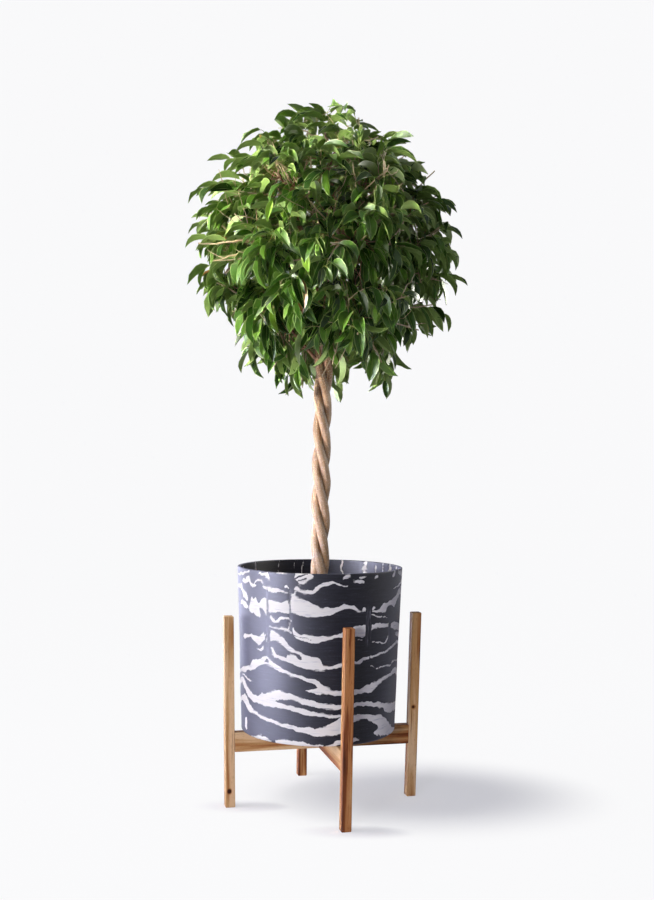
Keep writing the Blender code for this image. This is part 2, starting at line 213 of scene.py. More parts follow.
def tube_map(count, rings, sides, low, high):
    """Map places for tubes(): u runs round each tube and v along it, inside the box from low to high."""
    i, j = np.meshgrid(np.arange(rings - 1), np.arange(sides), indexing="ij")
    u = np.stack((j, j + 1, j + 1, j), -1) / sides
    v = np.stack((i, i, i + 1, i + 1), -1) / (rings - 1)
    quads = np.stack((u, v), -1).reshape(-1, 2)
    j = np.arange(sides)
    first = np.stack((np.stack((j + 0.5, j + 1, j), -1) / sides, np.zeros((sides, 3))), -1)
    last = np.stack((np.stack((j + 0.5, j, j + 1), -1) / sides, np.ones((sides, 3))), -1)
    ends = np.concatenate((first, last)).reshape(-1, 2)
    low, high = np.asarray(low), np.asarray(high)
    place = lambda uv: np.tile(low + uv * (high - low), (count, 1))
    return np.concatenate((place(quads), place(ends)))


def bowed(a, b, sway, rng):
    """Paths from places a to b, each pulled aside at random at a third and at two thirds of its length."""
    bow = rng.normal(0, sway, (2, len(a), 3))
    return bezier(a, a * 0.66 + b * 0.34 + bow[0], a * 0.34 + b * 0.66 + bow[1], b, SHORT_PATH)


def zigzag(paths, bends, reach, rng):
    """Sideways moves that bend paths to and fro, as at a twig's leaf scars: a triangle wave across each."""
    share = np.linspace(0, 1, paths.shape[1])
    wave = np.abs((share * bends) % 2 - 1) * 2 - 1
    across = unit(np.cross(unit(paths[:, -1] - paths[:, 0]), rng.normal(0, 1, (len(paths), 3))))
    return across[:, None] * (wave * reach * np.sin(math.pi * share))[None, :, None]


# ------------ the plan of stems and crown
CROWN_CENTRE = np.array((-0.0042, 0.0010, 1.035))
BROADSIDE = unit(RIGHT)  # the level direction along which the outline below was taken
# The crown's radius every 10 degrees, from BROADSIDE towards up.
OUTLINE = (0.250, 0.238, 0.240, 0.262, 0.264, 0.246, 0.255, 0.270, 0.274, 0.277, 0.266, 0.266,
           0.262, 0.275, 0.274, 0.261, 0.251, 0.262, 0.253, 0.257, 0.240, 0.249, 0.228, 0.252,
           0.262, 0.264, 0.266, 0.276, 0.276, 0.273, 0.266, 0.258, 0.258, 0.246, 0.252, 0.261)
RINGS = (  # of sprays: polar from, to, count, first turn, and the height at which their branches leave
    (7, 37, 3, 20, 1.13), (37, 73, 5, 8, 1.05), (73, 109, 6, 34, 0.95), (109, 160, 4, 12, 0.87))

PATH, SHORT_PATH = 25, 13  # points along a branch, branchlet or twig, and along a bare one
GOLDEN_ANGLE = 2.399963  # radians
INNER_TWIGS, BARE_SHOOTS = 520, 90

STEM_FOOT, ROPE_TOP, STEM_TOP = 0.310, 0.900, 1.180  # heights
ROPE_PITCH = 0.21  # height of one whole turn of the rope
ROPE_REACH, OPEN_REACH = 0.0097, 0.070  # from the rope's middle to a stem's, and what the top adds
OPEN_TURN = 0.9  # radians that a stem turns further while it opens
LEAN_FROM = 0.45  # the height above which the trunk leans
SEARCH, CROWDED = 0.045, 0.03  # how far a branch may start from its ring's height, and from its neighbour


def rope_turn(index, z):
    """The turn in radians of a stem about the rope's middle at height z."""
    opened = np.clip((z - ROPE_TOP) / (STEM_TOP - ROPE_TOP), 0, None)
    return 2 * math.pi * (index / 3 - (np.minimum(z, ROPE_TOP) - STEM_FOOT) / ROPE_PITCH) - OPEN_TURN * opened


def branch_starts():
    """Polar and turn in degrees of each branch's spray, the stem that it leaves and the height there.

    From the lowest ring up, each branch leaves the stem that faces its way best near the ring's height, and
    keeps clear of the others on that stem.
    """
    cells = [((low + high) // 2, first + 360 // count * i, height)
             for low, high, count, first, height in RINGS for i in range(count)]
    starts = {}
    for polar, turn, height in sorted(cells, key=lambda cell: cell[2]):
        choices = []
        for stem in range(3):
            taken = [start[3] for start in starts.values() if start[2] == stem]
            for z in np.arange(height - SEARCH, height + SEARCH + 0.0001, 0.005):
                miss = abs((rope_turn(stem, z) - math.radians(turn) + math.pi) % (2 * math.pi) - math.pi)
                crowd = sum(max(0.0, CROWDED - abs(z - other)) for other in taken)
                choices.append((miss + 60 * crowd, stem, round(z, 3)))
        starts[polar, turn] = (polar, turn, *min(choices)[1:])
    return [starts[cell[:2]] for cell in cells]


def stem_point(index, z):
    """A stem's middle at height z: a left-handed rope of three up to ROPE_TOP, opening above as a goblet.

    The rope stands on the planter's axis and leans to the crown's middle by the square of the height.
    """
    opened = np.clip((z - ROPE_TOP) / (STEM_TOP - ROPE_TOP), 0, None)
    turn = rope_turn(index, z)
    reach = ROPE_REACH + OPEN_REACH * opened**1.25
    share = np.clip((z - LEAN_FROM) / (CROWN_CENTRE[2] - LEAN_FROM), 0, 1) ** 2
    middle = PLANT_AT[:2] + (CROWN_CENTRE - PLANT_AT)[:2] * np.expand_dims(share, -1)
    round_ = np.stack((reach * np.cos(turn), reach * np.sin(turn)), -1)
    return np.concatenate((middle + round_, np.expand_dims(z + 0 * turn, -1)), -1)


def direction(polar_deg, turn_deg):
    """Unit vectors from the angle down from straight up and the turn about it."""
    polar, turn = np.radians(polar_deg), np.radians(turn_deg)
    return np.stack((np.sin(polar) * np.cos(turn), np.sin(polar) * np.sin(turn), np.cos(polar)), -1)


def crown_radius(d):
    """The crown's radius towards unit vectors d: its outline, and off its plane the mean of both sides."""
    across, up = d @ BROADSIDE, d[..., 2]
    turn = np.degrees(np.arctan2(up, across)) % 360
    outline = np.interp(turn, np.arange(0, 361, 10), OUTLINE + OUTLINE[:1])
    mirrored = np.interp((180 - turn) % 360, np.arange(0, 361, 10), OUTLINE + OUTLINE[:1])
    off_plane = 1 - np.clip(across**2 + up**2, 0, 1)
    return outline * (1 - off_plane) + 0.5 * (outline + mirrored) * off_plane


def spray_of(d):
    """Number, from 0, of the branch whose part of the crown each unit vector points into."""
    polar = np.degrees(np.arccos(np.clip(d[:, 2], -1, 1)))
    turn = np.degrees(np.arctan2(d[:, 1], d[:, 0]))
    _, ends, counts, firsts, _ = zip(*RINGS)
    counts, firsts = np.array(counts), np.array(firsts)
    ring = np.digitize(polar, ends[:-1])  # the first ring reaches the top and the last one the bottom
    count = counts[ring]
    cell = np.round((turn - firsts[ring]) / (360 / count)).astype(int) % count
    return np.append(0, counts.cumsum())[ring] + cell


def level_outward(d, rng):
    """The level part of unit vectors d, pushed to a random side where d is nearly upright."""
    level = d * (1, 1, 0) + rng.normal(0, 0.08, d.shape) * (1, 1, 0)
    return unit(level)


@functools.lru_cache(maxsize=2)
def crown_plan(twig_count, leaves_per_twig, leaf_length, leaf_width, petiole_length):
    """Every branch, branchlet, twig and leaf of the crown, worked out once for the woody and leafy pieces.

    Twig ends are spread over the crown by equal steps of height and the golden angle, most near its surface
    and two fifths deeper inside. The twigs of one spray are grouped by direction, each group on a
    branchlet, which leaves the spray's branch and ends in a pruned stub. Leaves stand alternately along the
    outer part of each twig: on the upper twigs most spread to both sides and arch over, and on the lower
    ones most hang. Twigs are then lengthened or cut so that their leaf tips reach the crown's radius.
    """
    rng = np.random.default_rng(20)
    k = np.arange(twig_count)
    top, low = math.cos(math.radians(4)), math.cos(math.radians(161))
    ends = np.degrees(np.arccos(top + (low - top) * (k + 0.5) / twig_count))
    ends = direction(ends + rng.normal(0, 3.5, twig_count),
                     np.degrees(k * GOLDEN_ANGLE) + rng.normal(0, 6.0, twig_count))
    spray = spray_of(ends)
    polar = np.degrees(np.arccos(ends[:, 2]))
    radius = crown_radius(ends)
    kind = rng.uniform(0, 1, twig_count)
    target = rng.normal(0.965, 0.060, twig_count).clip(0.80, 1.06)
    target = np.where((kind > 0.93) & (polar > 35), rng.uniform(1.05, 1.13, twig_count), target)
    target = np.where(kind < 0.42, rng.normal(0.74, 0.10, twig_count).clip(0.50, 0.92), target)
    level = level_outward(ends, rng)

    plan = branch_starts()
    starts = np.array([stem_point(stem, z) for _, _, stem, z in plan])
    aims = direction(np.array([b[0] for b in plan]), np.array([b[1] for b in plan]))
    tips = CROWN_CENTRE + aims * crown_radius(aims)[:, None] * 0.74
    rise = np.clip(np.array([b[0] for b in plan]) / 90, 0.25, 1.2)[:, None]
    span = np.linalg.norm(tips - starts, axis=1, keepdims=True)
    outward = unit((starts - CROWN_CENTRE) * (1, 1, 0) + aims * (1, 1, 0) * 0.03)
    branches = bezier(starts, starts + span * (0.30 * outward + 0.24 * UP),
                      tips - span * unit(aims + 0.25 * rise * UP) * 0.3, tips, PATH)
    wander = rng.normal(0, 0.0016, branches.shape) * np.linspace(0, 1, PATH)[None, :, None]
    branches += wander.cumsum(1) * 0.5

    # Branchlets: the twigs of each spray in groups of about three, by nearest middle.
    group, lets, let_spray = np.zeros(twig_count, int), [], []
    for s in range(SPRAYS):
        mine = np.flatnonzero(spray == s)
        count = max(1, round(len(mine) / 3))
        middles = ends[mine[np.linspace(0, len(mine) - 1, count).round().astype(int)]]
        for _ in range(8):
            near = (ends[mine] @ middles.T).argmax(1)
            middles = np.stack([unit(ends[mine[near == j]].mean(0)) if (near == j).any() else middles[j]
                                for j in range(count)])
        group[mine] = len(lets) + near
        lets += list(middles)
        let_spray += [s] * count
    lets, let_spray = np.array(lets), np.array(let_spray)
    count = len(lets)
    place = rng.uniform(0.35, 0.98, count)
    at = (place * (PATH - 1)).astype(int)
    from_ = branches[let_spray, at]
    along = unit(branches[let_spray, np.minimum(at + 1, PATH - 1)] - branches[let_spray, at - 1])
    lets = unit(lets + rng.normal(0, 0.07, lets.shape))
    to = CROWN_CENTRE + lets * crown_radius(lets)[:, None] * rng.uniform(0.76, 1.0, (count, 1))
    span = np.linalg.norm(to - from_, axis=1, keepdims=True)
    rising = np.interp(np.degrees(np.arccos(lets[:, 2].clip(-1, 1))), (0, 60, 110, 165),
                       (0.8, 0.7, 0.3, -0.3))[:, None]
    ease = unit(unit(to - from_) + 0.35 * unit(lets + rising * UP))
    branchlets = bezier(from_, from_ + unit(along + unit(to - from_)) * span * 0.30, to - span * ease * 0.36,
                        to, PATH)
    branchlets += zigzag(branchlets, 7, 0.0022, rng)

    at = rng.uniform(0.30, 0.90, twig_count) * (PATH - 1)
    whole = np.minimum(at.astype(int), PATH - 2)
    from_ = branchlets[group, whole]
    along = unit(branchlets[group, whole + 1] - branchlets[group, whole])
    droop = np.interp(polar, (0, 30, 80, 120, 160), (-0.40, -0.15, 0.15, 0.50, 0.80))[:, None]
    arrive = unit(ends * 0.8 + level * np.interp(polar, (0, 40, 90, 160), (0.2, 0.4, 0.3, 0.1))[:, None]
                  - UP * droop + rng.normal(0, 0.30, ends.shape))
    leaf_count = twig_count * leaves_per_twig
    nodes = rng.normal(0, 0.025, (twig_count, leaves_per_twig))
    nodes = (np.linspace(0.14, 1.0, leaves_per_twig)[None] + nodes).clip(0.06, 1.0)
    nodes[:, -1] = 1.0
    side = (np.arange(leaves_per_twig)[None] % 2 * 2 - 1) * rng.choice((-1, 1), (twig_count, 1))
    draw = {name: rng.normal(0, 1, (twig_count, leaves_per_twig, 3))
            for name in ("toward", "face", "size", "shape", "twist")}
    flat = rng.uniform(0, 1, (twig_count, leaves_per_twig, 3))
    reach = np.full(twig_count, 0.86)

    for _ in range(4):
        to = CROWN_CENTRE + ends * (radius * reach)[:, None]
        span = np.linalg.norm(to - from_, axis=1, keepdims=True)
        twigs = bezier(from_, from_ + along * span * 0.34, to - arrive * span * 0.42, to, PATH)
        tangents = unit(np.gradient(twigs, axis=1))
        sideways = unit(np.cross(tangents, UP + 0 * tangents) + 1e-6)
        zig = np.sin(np.linspace(0, 1, PATH) * math.pi * leaves_per_twig)[None, :, None] * sideways
        twigs = twigs + zig * 0.0014 * np.linspace(0, 1, PATH)[None, :, None]
        index = nodes * (PATH - 1)
        whole = np.minimum(index.astype(int), PATH - 2)
        part = (index - whole)[..., None]
        pick = np.arange(twig_count)[:, None]
        base = twigs[pick, whole] * (1 - part) + twigs[pick, whole + 1] * part
        heading, across = tangents[pick, whole], sideways[pick, whole]

        e = unit(base - CROWN_CENTRE)
        polar_here = np.degrees(np.arccos(e[..., 2].clip(-1, 1)))[..., None]
        by_height = lambda *shares: np.interp(polar_here, (0, 30, 60, 90, 125, 165), shares)
        out = unit(e * (1, 1, 0) + 0.15 * heading * (1, 1, 0) + 1e-6)
        hangs = (1 - flat[..., 1:2]) < by_height(0.05, 0.08, 0.16, 0.34, 0.76, 0.95)
        level_share = np.where(hangs, 0.22, by_height(0.70, 0.80, 0.80, 0.72, 0.55, 0.35))
        down_share = np.where(hangs, 1.0, by_height(-0.10, -0.08, -0.02, 0.08, 0.36, 0.65))
        spread = np.where(hangs, 0.32, by_height(0.95, 0.95, 0.95, 0.90, 0.75, 0.60))
        spread = spread * (0.85 + 0.40 * draw["size"][..., 2:3]) * side[..., None]
        last = (np.arange(leaves_per_twig) == leaves_per_twig - 1)[None, :, None]
        spread = np.where(last, 0.35 * spread, spread)
        toward = unit(level_share * out - down_share * UP + spread * across + 0.30 * heading
                      + 0.25 * draw["toward"])
        face = unit(np.where(hangs, 0.85, 0.18) * e + np.where(hangs, 0.30, 0.95) * UP + 0.34 * draw["face"])
        face = unit(face - toward * (face * toward).sum(-1, keepdims=True))

        grown = (1 + 0.13 * draw["size"][..., :1]).clip(0.66, 1.32)
        young = np.where(last, 0.80, 1.0) * np.where(flat[..., :1] < 0.06, 0.72, 1.0)
        length = leaf_length * grown * young
        stalk = petiole_length * (1 + 0.2 * draw["size"][..., 1:2]).clip(0.6, 1.5)
        leave = unit(heading * 0.5 + across * side[..., None] * 0.75 + UP * 0.25)
        leave = np.where(last, heading, leave)
        foot = base + leave * stalk * 0.45 + unit(leave + 1.4 * toward) * stalk * 0.55
        bend = np.where(hangs, 26, by_height(48, 50, 54, 56, 52, 44)) + 17 * draw["shape"][..., :1]
        bend = np.radians(bend).clip(0.10, 1.9)
        tip = foot + length * (toward * np.sin(bend) / bend - face * (1 - np.cos(bend)) / bend * 0.9)
        d = tip - CROWN_CENTRE
        r = np.linalg.norm(d, axis=-1)
        ratio = (r / crown_radius(d / r[..., None])).max(1)
        reach = (reach * (1 + 0.9 * (target / ratio - 1))).clip(0.40, 1.0)

    # Bare inner twigs: short, thin and brown, from anywhere along the branches.
    own = rng.integers(0, SPRAYS, INNER_TWIGS)
    from_ = branches[own, rng.integers(5, PATH - 1, INNER_TWIGS)]
    heading = unit(unit(from_ - CROWN_CENTRE) * 0.5 + rng.normal(0, 0.75, (INNER_TWIGS, 3)))
    to = from_ + heading * rng.uniform(0.035, 0.11, (INNER_TWIGS, 1))
    far = np.linalg.norm(to - CROWN_CENTRE, axis=1, keepdims=True)
    to = CROWN_CENTRE + (to - CROWN_CENTRE) * np.minimum(1, 0.21 / far)
    inner_twigs = bowed(from_, to, 0.012, rng)

    # Bare pale shoots in the outer crown, which stand out in front of the leaves.
    bare = rng.integers(0, len(branchlets), BARE_SHOOTS)
    from_ = branchlets[bare, rng.integers(12, PATH - 1, BARE_SHOOTS)]
    heading = unit(unit(from_ - CROWN_CENTRE) * 0.75 + 0.30 * UP + rng.normal(0, 0.55, (BARE_SHOOTS, 3)))
    to = from_ + heading * rng.uniform(0.05, 0.12, (BARE_SHOOTS, 1))
    d = unit(to - CROWN_CENTRE)
    far = np.linalg.norm(to - CROWN_CENTRE, axis=1) / crown_radius(d)
    to = CROWN_CENTRE + (to - CROWN_CENTRE) * np.minimum(1, 0.95 / far)[:, None]
    bare_twigs = bowed(from_, to, 0.006, rng)
    bare_twigs += zigzag(bare_twigs, 5, 0.0016, rng)

    flatten = lambda a: a.reshape(leaf_count, -1)
    leaves = {
        "base": flatten(base), "foot": flatten(foot), "leave": flatten(leave), "toward": flatten(toward),
        "face": flatten(face), "length": flatten(length)[:, 0],
        "width": flatten(length)[:, 0] * (leaf_width / leaf_length)
        * (1 + 0.09 * flatten(draw["shape"])[:, 1]).clip(0.75, 1.25),
        "bend": flatten(bend)[:, 0],
        "fold": np.radians(44 + 12 * flatten(draw["shape"])[:, 2]).clip(0.20, 1.2),
        "twist": np.radians(26) * flatten(draw["twist"])[:, 0], "ripple": flatten(draw["twist"])[:, 1:],
        "stalk": flatten(stalk)[:, 0], "spray": np.repeat(spray, leaves_per_twig),
        "luck": flatten(flat)[:, 1],
        "age": np.tile(np.linspace(0, 1, leaves_per_twig), twig_count), "pick": flatten(flat)[:, 2],
    }
    return {"branches": branches, "branchlets": branchlets, "let_spray": let_spray, "twigs": twigs,
            "spray": spray, "inner_twigs": inner_twigs, "inner_spray": own, "bare_twigs": bare_twigs,
            "bare_spray": let_spray[bare], "leaves": leaves}


# ------------ the leaves
STATIONS = np.array((0.0, 0.06, 0.19, 0.37, 0.56, 0.73, 0.86, 0.94, 1.0))  # rows along a blade
HALF_WIDTH = np.array((0.0, 0.40, 0.83, 1.00, 0.93, 0.69, 0.35, 0.13, 0.0))  # egg-shaped with a drip tip
COLUMNS = np.array((-1.0, -0.5, 0.0, 0.5, 1.0))
BLADE_POINTS = 44  # a base and a tip, seven rows of five, and seven under the midrib
STALK_LOW, STALK_HIGH = (9.1 / LEAF_COLUMNS, 4.05 / LEAF_ROWS), (9.9 / LEAF_COLUMNS, 4.95 / LEAF_ROWS)


def leaf_template():
    """Faces and map places of a closed blade: four columns above and two below, which share the margin.

    Corners are numbered base pole, seven rows of five, seven points under the midrib, tip pole. The map's u
    runs across the blade from margin to margin and v from base to tip; the third number is 1 on the
    underside.
    """
    at = lambda row, column: 1 + row * 5 + column
    under = lambda row: 36 + row
    tip = 43
    quads, tris, quad_map, tri_map = [], [], [], []
    v = STATIONS[1:8]
    for j in range(4):
        middle = (COLUMNS[j] + COLUMNS[j + 1]) / 2
        tris += [(0, at(0, j + 1), at(0, j)), (at(6, j), at(6, j + 1), tip)]
        tri_map += [((middle, 0, 0), (COLUMNS[j + 1], v[0], 0), (COLUMNS[j], v[0], 0)),
                    ((COLUMNS[j], v[6], 0), (COLUMNS[j + 1], v[6], 0), (middle, 1, 0))]
        for i in range(6):
            quads.append((at(i, j), at(i, j + 1), at(i + 1, j + 1), at(i + 1, j)))
            quad_map.append(((COLUMNS[j], v[i], 0), (COLUMNS[j + 1], v[i], 0), (COLUMNS[j + 1], v[i + 1], 0),
                             (COLUMNS[j], v[i + 1], 0)))
    for i in range(6):
        quads += [(at(i, 0), at(i + 1, 0), under(i + 1), under(i)),
                  (under(i), under(i + 1), at(i + 1, 4), at(i, 4))]
        quad_map += [((-1, v[i], 1), (-1, v[i + 1], 1), (0, v[i + 1], 1), (0, v[i], 1)),
                     ((0, v[i], 1), (0, v[i + 1], 1), (1, v[i + 1], 1), (1, v[i], 1))]
    tris += [(0, at(0, 0), under(0)), (0, under(0), at(0, 4)), (under(6), at(6, 0), tip),
             (at(6, 4), under(6), tip)]
    tri_map += [((-0.5, 0, 1), (-1, v[0], 1), (0, v[0], 1)), ((0.5, 0, 1), (0, v[0], 1), (1, v[0], 1)),
                ((0, v[6], 1), (-1, v[6], 1), (-0.5, 1, 1)), ((1, v[6], 1), (0, v[6], 1), (0.5, 1, 1))]
    return np.array(quads), np.array(tris), np.array(quad_map, float), np.array(tri_map, float)


def leaf_places(leaf, thickness):
    """Vertices of blades, (leaves, BLADE_POINTS, 3).

    The midrib starts along 'toward' and bends away from 'face' by an angle that grows with the distance to
    the power 1.3. Across it, each half rises by the fold angle, is arched a little, ripples at the margin,
    and is as wide as the blade's outline there. The blade also turns about its midrib by the twist.
    """
    d, n = leaf["toward"], leaf["face"]
    b = np.cross(d, n)
    middle = (STATIONS[1:] + STATIONS[:-1]) / 2
    angle = leaf["bend"][:, None] * middle**1.3
    step = np.diff(STATIONS)[None, :, None] * leaf["length"][:, None, None]
    moves = step * (np.cos(angle)[..., None] * d[:, None] - np.sin(angle)[..., None] * n[:, None])
    rib = leaf["foot"][:, None] + np.concatenate((np.zeros_like(moves[:, :1]), moves.cumsum(1)), 1)
    t = STATIONS[1:8]
    angle = leaf["bend"][:, None] * t**1.3
    normal = np.cos(angle)[..., None] * n[:, None] + np.sin(angle)[..., None] * d[:, None]
    turn = (leaf["twist"][:, None] * t)[..., None]
    side = np.cos(turn) * b[:, None] + np.sin(turn) * normal
    normal = np.cos(turn) * normal - np.sin(turn) * b[:, None]
    half = (leaf["width"][:, None] / 2 * HALF_WIDTH[1:8])[..., None]
    fold = leaf["fold"][:, None, None]
    s = COLUMNS[None, None]
    waves = np.sin(2 * math.pi * 2.3 * t[None, :, None] + 3 * leaf["ripple"][:, None, :1] + np.sign(s))
    ripple = 0.07 * np.abs(s) * waves * leaf["ripple"][:, None, 1:].clip(-2, 2)
    height = np.abs(s) * np.sin(fold) - 0.07 * s**2 + ripple
    across = half * s * np.cos(fold)
    lifted = (half * height)[..., None] * normal[:, :, None]
    grid = rib[:, 1:8, None] + across[..., None] * side[:, :, None] + lifted
    under = rib[:, 1:8] - thickness * normal
    return np.concatenate((rib[:, :1], grid.reshape(len(d), 35, 3), under, rib[:, -1:]), 1)


def leaf_cells(leaf):
    """Column and row of each leaf's cell on the leaf map, for its upper face, and its underside's column.

    Rows 0 to 2 are ripe greens and row 3 lighter ones; the last leaf of a twig is more often young, and a
    few leaves are yellow or dry.
    """
    luck, pick, last = leaf["luck"], leaf["pick"], leaf["age"] > 0.99
    column = np.floor(pick * 10).astype(int)
    row = np.floor(luck * 3.4).astype(int).clip(0, 2)
    light = (luck > 0.86) | (last & (luck > 0.60))
    light_row = LIGHT_CELL // LEAF_COLUMNS
    row = np.where(light, light_row, row)
    column = np.where(light, np.floor(pick * 6).astype(int), column)
    fresh = (last & (luck > 0.93)) | (luck > 0.985)
    column = np.where(fresh, YOUNG_CELL % LEAF_COLUMNS + np.floor(pick * 2).astype(int), column)
    aged = np.abs(luck - 0.5) < 0.0035
    row = np.where(aged, light_row, row)
    column = np.where(aged, np.where(pick < 0.6, YELLOW_CELL, DRY_CELL) % LEAF_COLUMNS, column)
    return column, row, np.floor(pick * (STALK_CELL - UNDER_CELL)).astype(int)


def make_leaves(sizes):
    """Each spray's leaves with their stalks, one piece for each spray."""
    plan = the_plan(sizes)
    leaves = plan["leaves"]
    quads, tris, quad_map, tri_map = leaf_template()
    made = []
    for s in range(SPRAYS):
        mine = leaves["spray"] == s
        leaf = {key: value[mine] for key, value in leaves.items()}
        count = len(leaf["length"])
        blades = leaf_places(leaf, sizes.leaf_thickness)
        base, foot, stalk = leaf["base"], leaf["foot"], leaf["stalk"][:, None]
        paths = bezier(base, base + leaf["leave"] * stalk * 0.4, foot - leaf["toward"] * stalk * 0.4,
                       foot + leaf["toward"] * 0.0012, 4)
        radii = np.tile((0.00085, 0.00060, 0.00060, 0.00045), (count, 1))
        stalks, stalk_quads, stalk_ends = tubes(paths, radii, 3)
        column, row, under = leaf_cells(leaf)

        def place(template, column, row):
            """Map places of a template's corners, moved into each leaf's cell."""
            below = template[..., 2] > 0.5
            u = 0.5 + CELL_HALF * template[..., 0]
            v = CELL_EDGE + CELL_LENGTH * template[..., 1]
            shape = (count,) + (1,) * u.ndim
            cell_u = np.where(below, under.reshape(shape), column.reshape(shape))
            cell_v = np.where(below, LEAF_ROWS - 1, row.reshape(shape))
            return np.stack(((cell_u + u) / LEAF_COLUMNS, (cell_v + v) / LEAF_ROWS), -1).reshape(-1, 2)

        shift = np.arange(count)[:, None, None]
        after = count * BLADE_POINTS
        stalk_uv = tube_map(count, 4, 3, STALK_LOW, STALK_HIGH)
        cut = count * 9 * 4
        uv = np.concatenate((place(quad_map, column, row), stalk_uv[:cut], place(tri_map, column, row),
                             stalk_uv[cut:]))
        piece = new_piece(
            f"leaves_{s + 1:02d}",
            np.concatenate((blades.reshape(-1, 3), stalks)),
            [np.concatenate(((quads[None] + shift * BLADE_POINTS).reshape(-1, 4), stalk_quads + after)),
             np.concatenate(((tris[None] + shift * BLADE_POINTS).reshape(-1, 3), stalk_ends + after))],
            uv, 24, [f"foliage_{s + 1:02d}"])
        made.append(piece)
    return made


# ------------ branches and stems
def make_branches(sizes):
    """Each spray's branch, branchlets and twigs in one piece, as round tubes that thin towards their tips.

    The map's v runs from old wood at 0 to green shoot at 1, and u runs round each tube.
    """
    plan = the_plan(sizes)
    made = []
    taper = lambda start, end, steps: start + (end - start) * np.linspace(0, 1, steps)
    for s in range(SPRAYS):
        pointed = np.append(taper(sizes.twig_radius, 0.0006, PATH - 1), 0.00015)
        parts = (  # paths, radii, sides, and where on the map they start and end
            (plan["branches"][s : s + 1], taper(sizes.branch_radius, 0.0019, PATH), 8, (0.0, 0.25)),
            (plan["branchlets"][plan["let_spray"] == s], taper(0.0020, 0.0012, PATH), 7, (0.14, 0.74)),
            (plan["twigs"][plan["spray"] == s], pointed, 5, (0.45, 1.0)),
            (plan["inner_twigs"][plan["inner_spray"] == s], taper(0.0011, 0.0005, SHORT_PATH), 4,
             (0.05, 0.32)),
            (plan["bare_twigs"][plan["bare_spray"] == s], taper(0.0010, 0.0005, SHORT_PATH), 4, (0.40, 0.74)),
        )
        vertices, quads, ends, quad_uv, end_uv, before = [], [], [], [], [], 0
        for paths, radii, sides, (low, high) in parts:
            rings = paths.shape[1]
            swell = 1 + 0.16 * smooth_noise(paths, 0.02, 5)
            v, q, e = tubes(paths, radii[None] * swell, sides)
            uv = tube_map(len(paths), rings, sides, (0.01, low), (0.99, high))
            cut = len(q) * 4
            more = (v, q + before, e + before, uv[:cut], uv[cut:])
            for found, values in zip((vertices, quads, ends, quad_uv, end_uv), more):
                found.append(values)
            before += len(v)
        made.append(new_piece(f"branch_wood_{s + 1:02d}", np.concatenate(vertices),
                              [np.concatenate(quads), np.concatenate(ends)],
                              np.concatenate(quad_uv + end_uv), 60, [f"branch_{s + 1:02d}"]))
    return made


def make_stems(sizes):
    """The three twisted stems: tubes along stem_point, thicker at the soil and thinner above the rope.

    Its surface rises and falls with smooth noise in three sizes: bulges of 50 mm, ridges that run along it,
    and rings where leaves once stood.
    """
    made = []
    z = np.concatenate((np.linspace(STEM_FOOT, ROPE_TOP, 190), np.linspace(ROPE_TOP, STEM_TOP, 76)[1:]))
    opened = np.clip((z - ROPE_TOP) / (STEM_TOP - ROPE_TOP), 0, 1)
    flare = np.exp(-np.clip(z - 0.380, 0, 1) / 0.030)
    grown = sizes.stem_radius * (1 - 0.06 * np.clip((z - 0.45) / 0.45, 0, 1))
    radius = grown * (1 + 0.16 * flare) * (1 - opened) + 0.0030 * opened
    sides = 28
    turn = np.arange(sides) * 2 * math.pi / sides
    for index, letter in enumerate("abc"):
        path = stem_point(index, z)
        around = np.stack((np.cos(turn), np.sin(turn), 0 * turn), -1)[None] * 0.0074
        along = UP[None, None] * z[:, None, None]
        bulge = smooth_noise(around + along, 0.05, 31 + index)
        ridge = smooth_noise(around + along * 0.10, 0.0065, 41 + index)
        ring_gap = 0.024
        rings = np.exp(-(((z / ring_gap + 0.37 * index) % 1 - 0.5) / 0.07) ** 2)[:, None]
        share = 1 + 0.055 * bulge + 0.020 * ridge + 0.022 * rings
        v, q, e = tubes(path[None], radius[None], sides, share[None])
        uv = tube_map(1, len(z), sides, (0.005, 0.0), (0.995, 1.0))
        piece = new_piece(f"twisted_stem_{letter}", v, [q, e], uv, 60, [f"stem_{letter}"])
        # How deep each point lies between this strand and the next, 1 where the two touch and 0 beyond 3 mm:
        # painted shade that darkens the bark there.
        clear = np.full(len(v), 1.0)
        for other in {0, 1, 2} - {index}:
            middle = stem_point(other, v[:, 2])
            clear = np.minimum(clear, np.linalg.norm(v - middle, axis=1) - np.interp(v[:, 2], z, radius))
        painted_gap_shade = np.clip(1 - clear / 0.0030, 0, 1) ** 1.4 * 0.85
        piece.data.attributes.new("painted_gap_shade", "FLOAT", "POINT").data.foreach_set("value", painted_gap_shade.astype(np.float32))
        made.append(piece)
    return made


# ------------ soil, planter and stand
def revolved(profile, segments, shift=None):
    """A closed shell: a profile of (radius, height) carried round +Z, with a pole at each of its ends.

    shift(grid, turn) moves the grid's points. Returns vertices, quads and triangles facing outwards for a
    profile that goes up the outside.
    """
    profile = np.asarray(profile, float)
    body = profile[1:-1]
    turn = np.arange(segments) * 2 * math.pi / segments
    grid = np.stack((body[:, :1] * np.cos(turn), body[:, :1] * np.sin(turn), body[:, 1:] + 0 * turn), -1)
    if shift is not None:
        grid = shift(grid, turn)
    vertices = np.concatenate((grid.reshape(-1, 3), [(0, 0, profile[0, 1]), (0, 0, profile[-1, 1])]))
    return vertices, *ring_faces(len(body), segments)


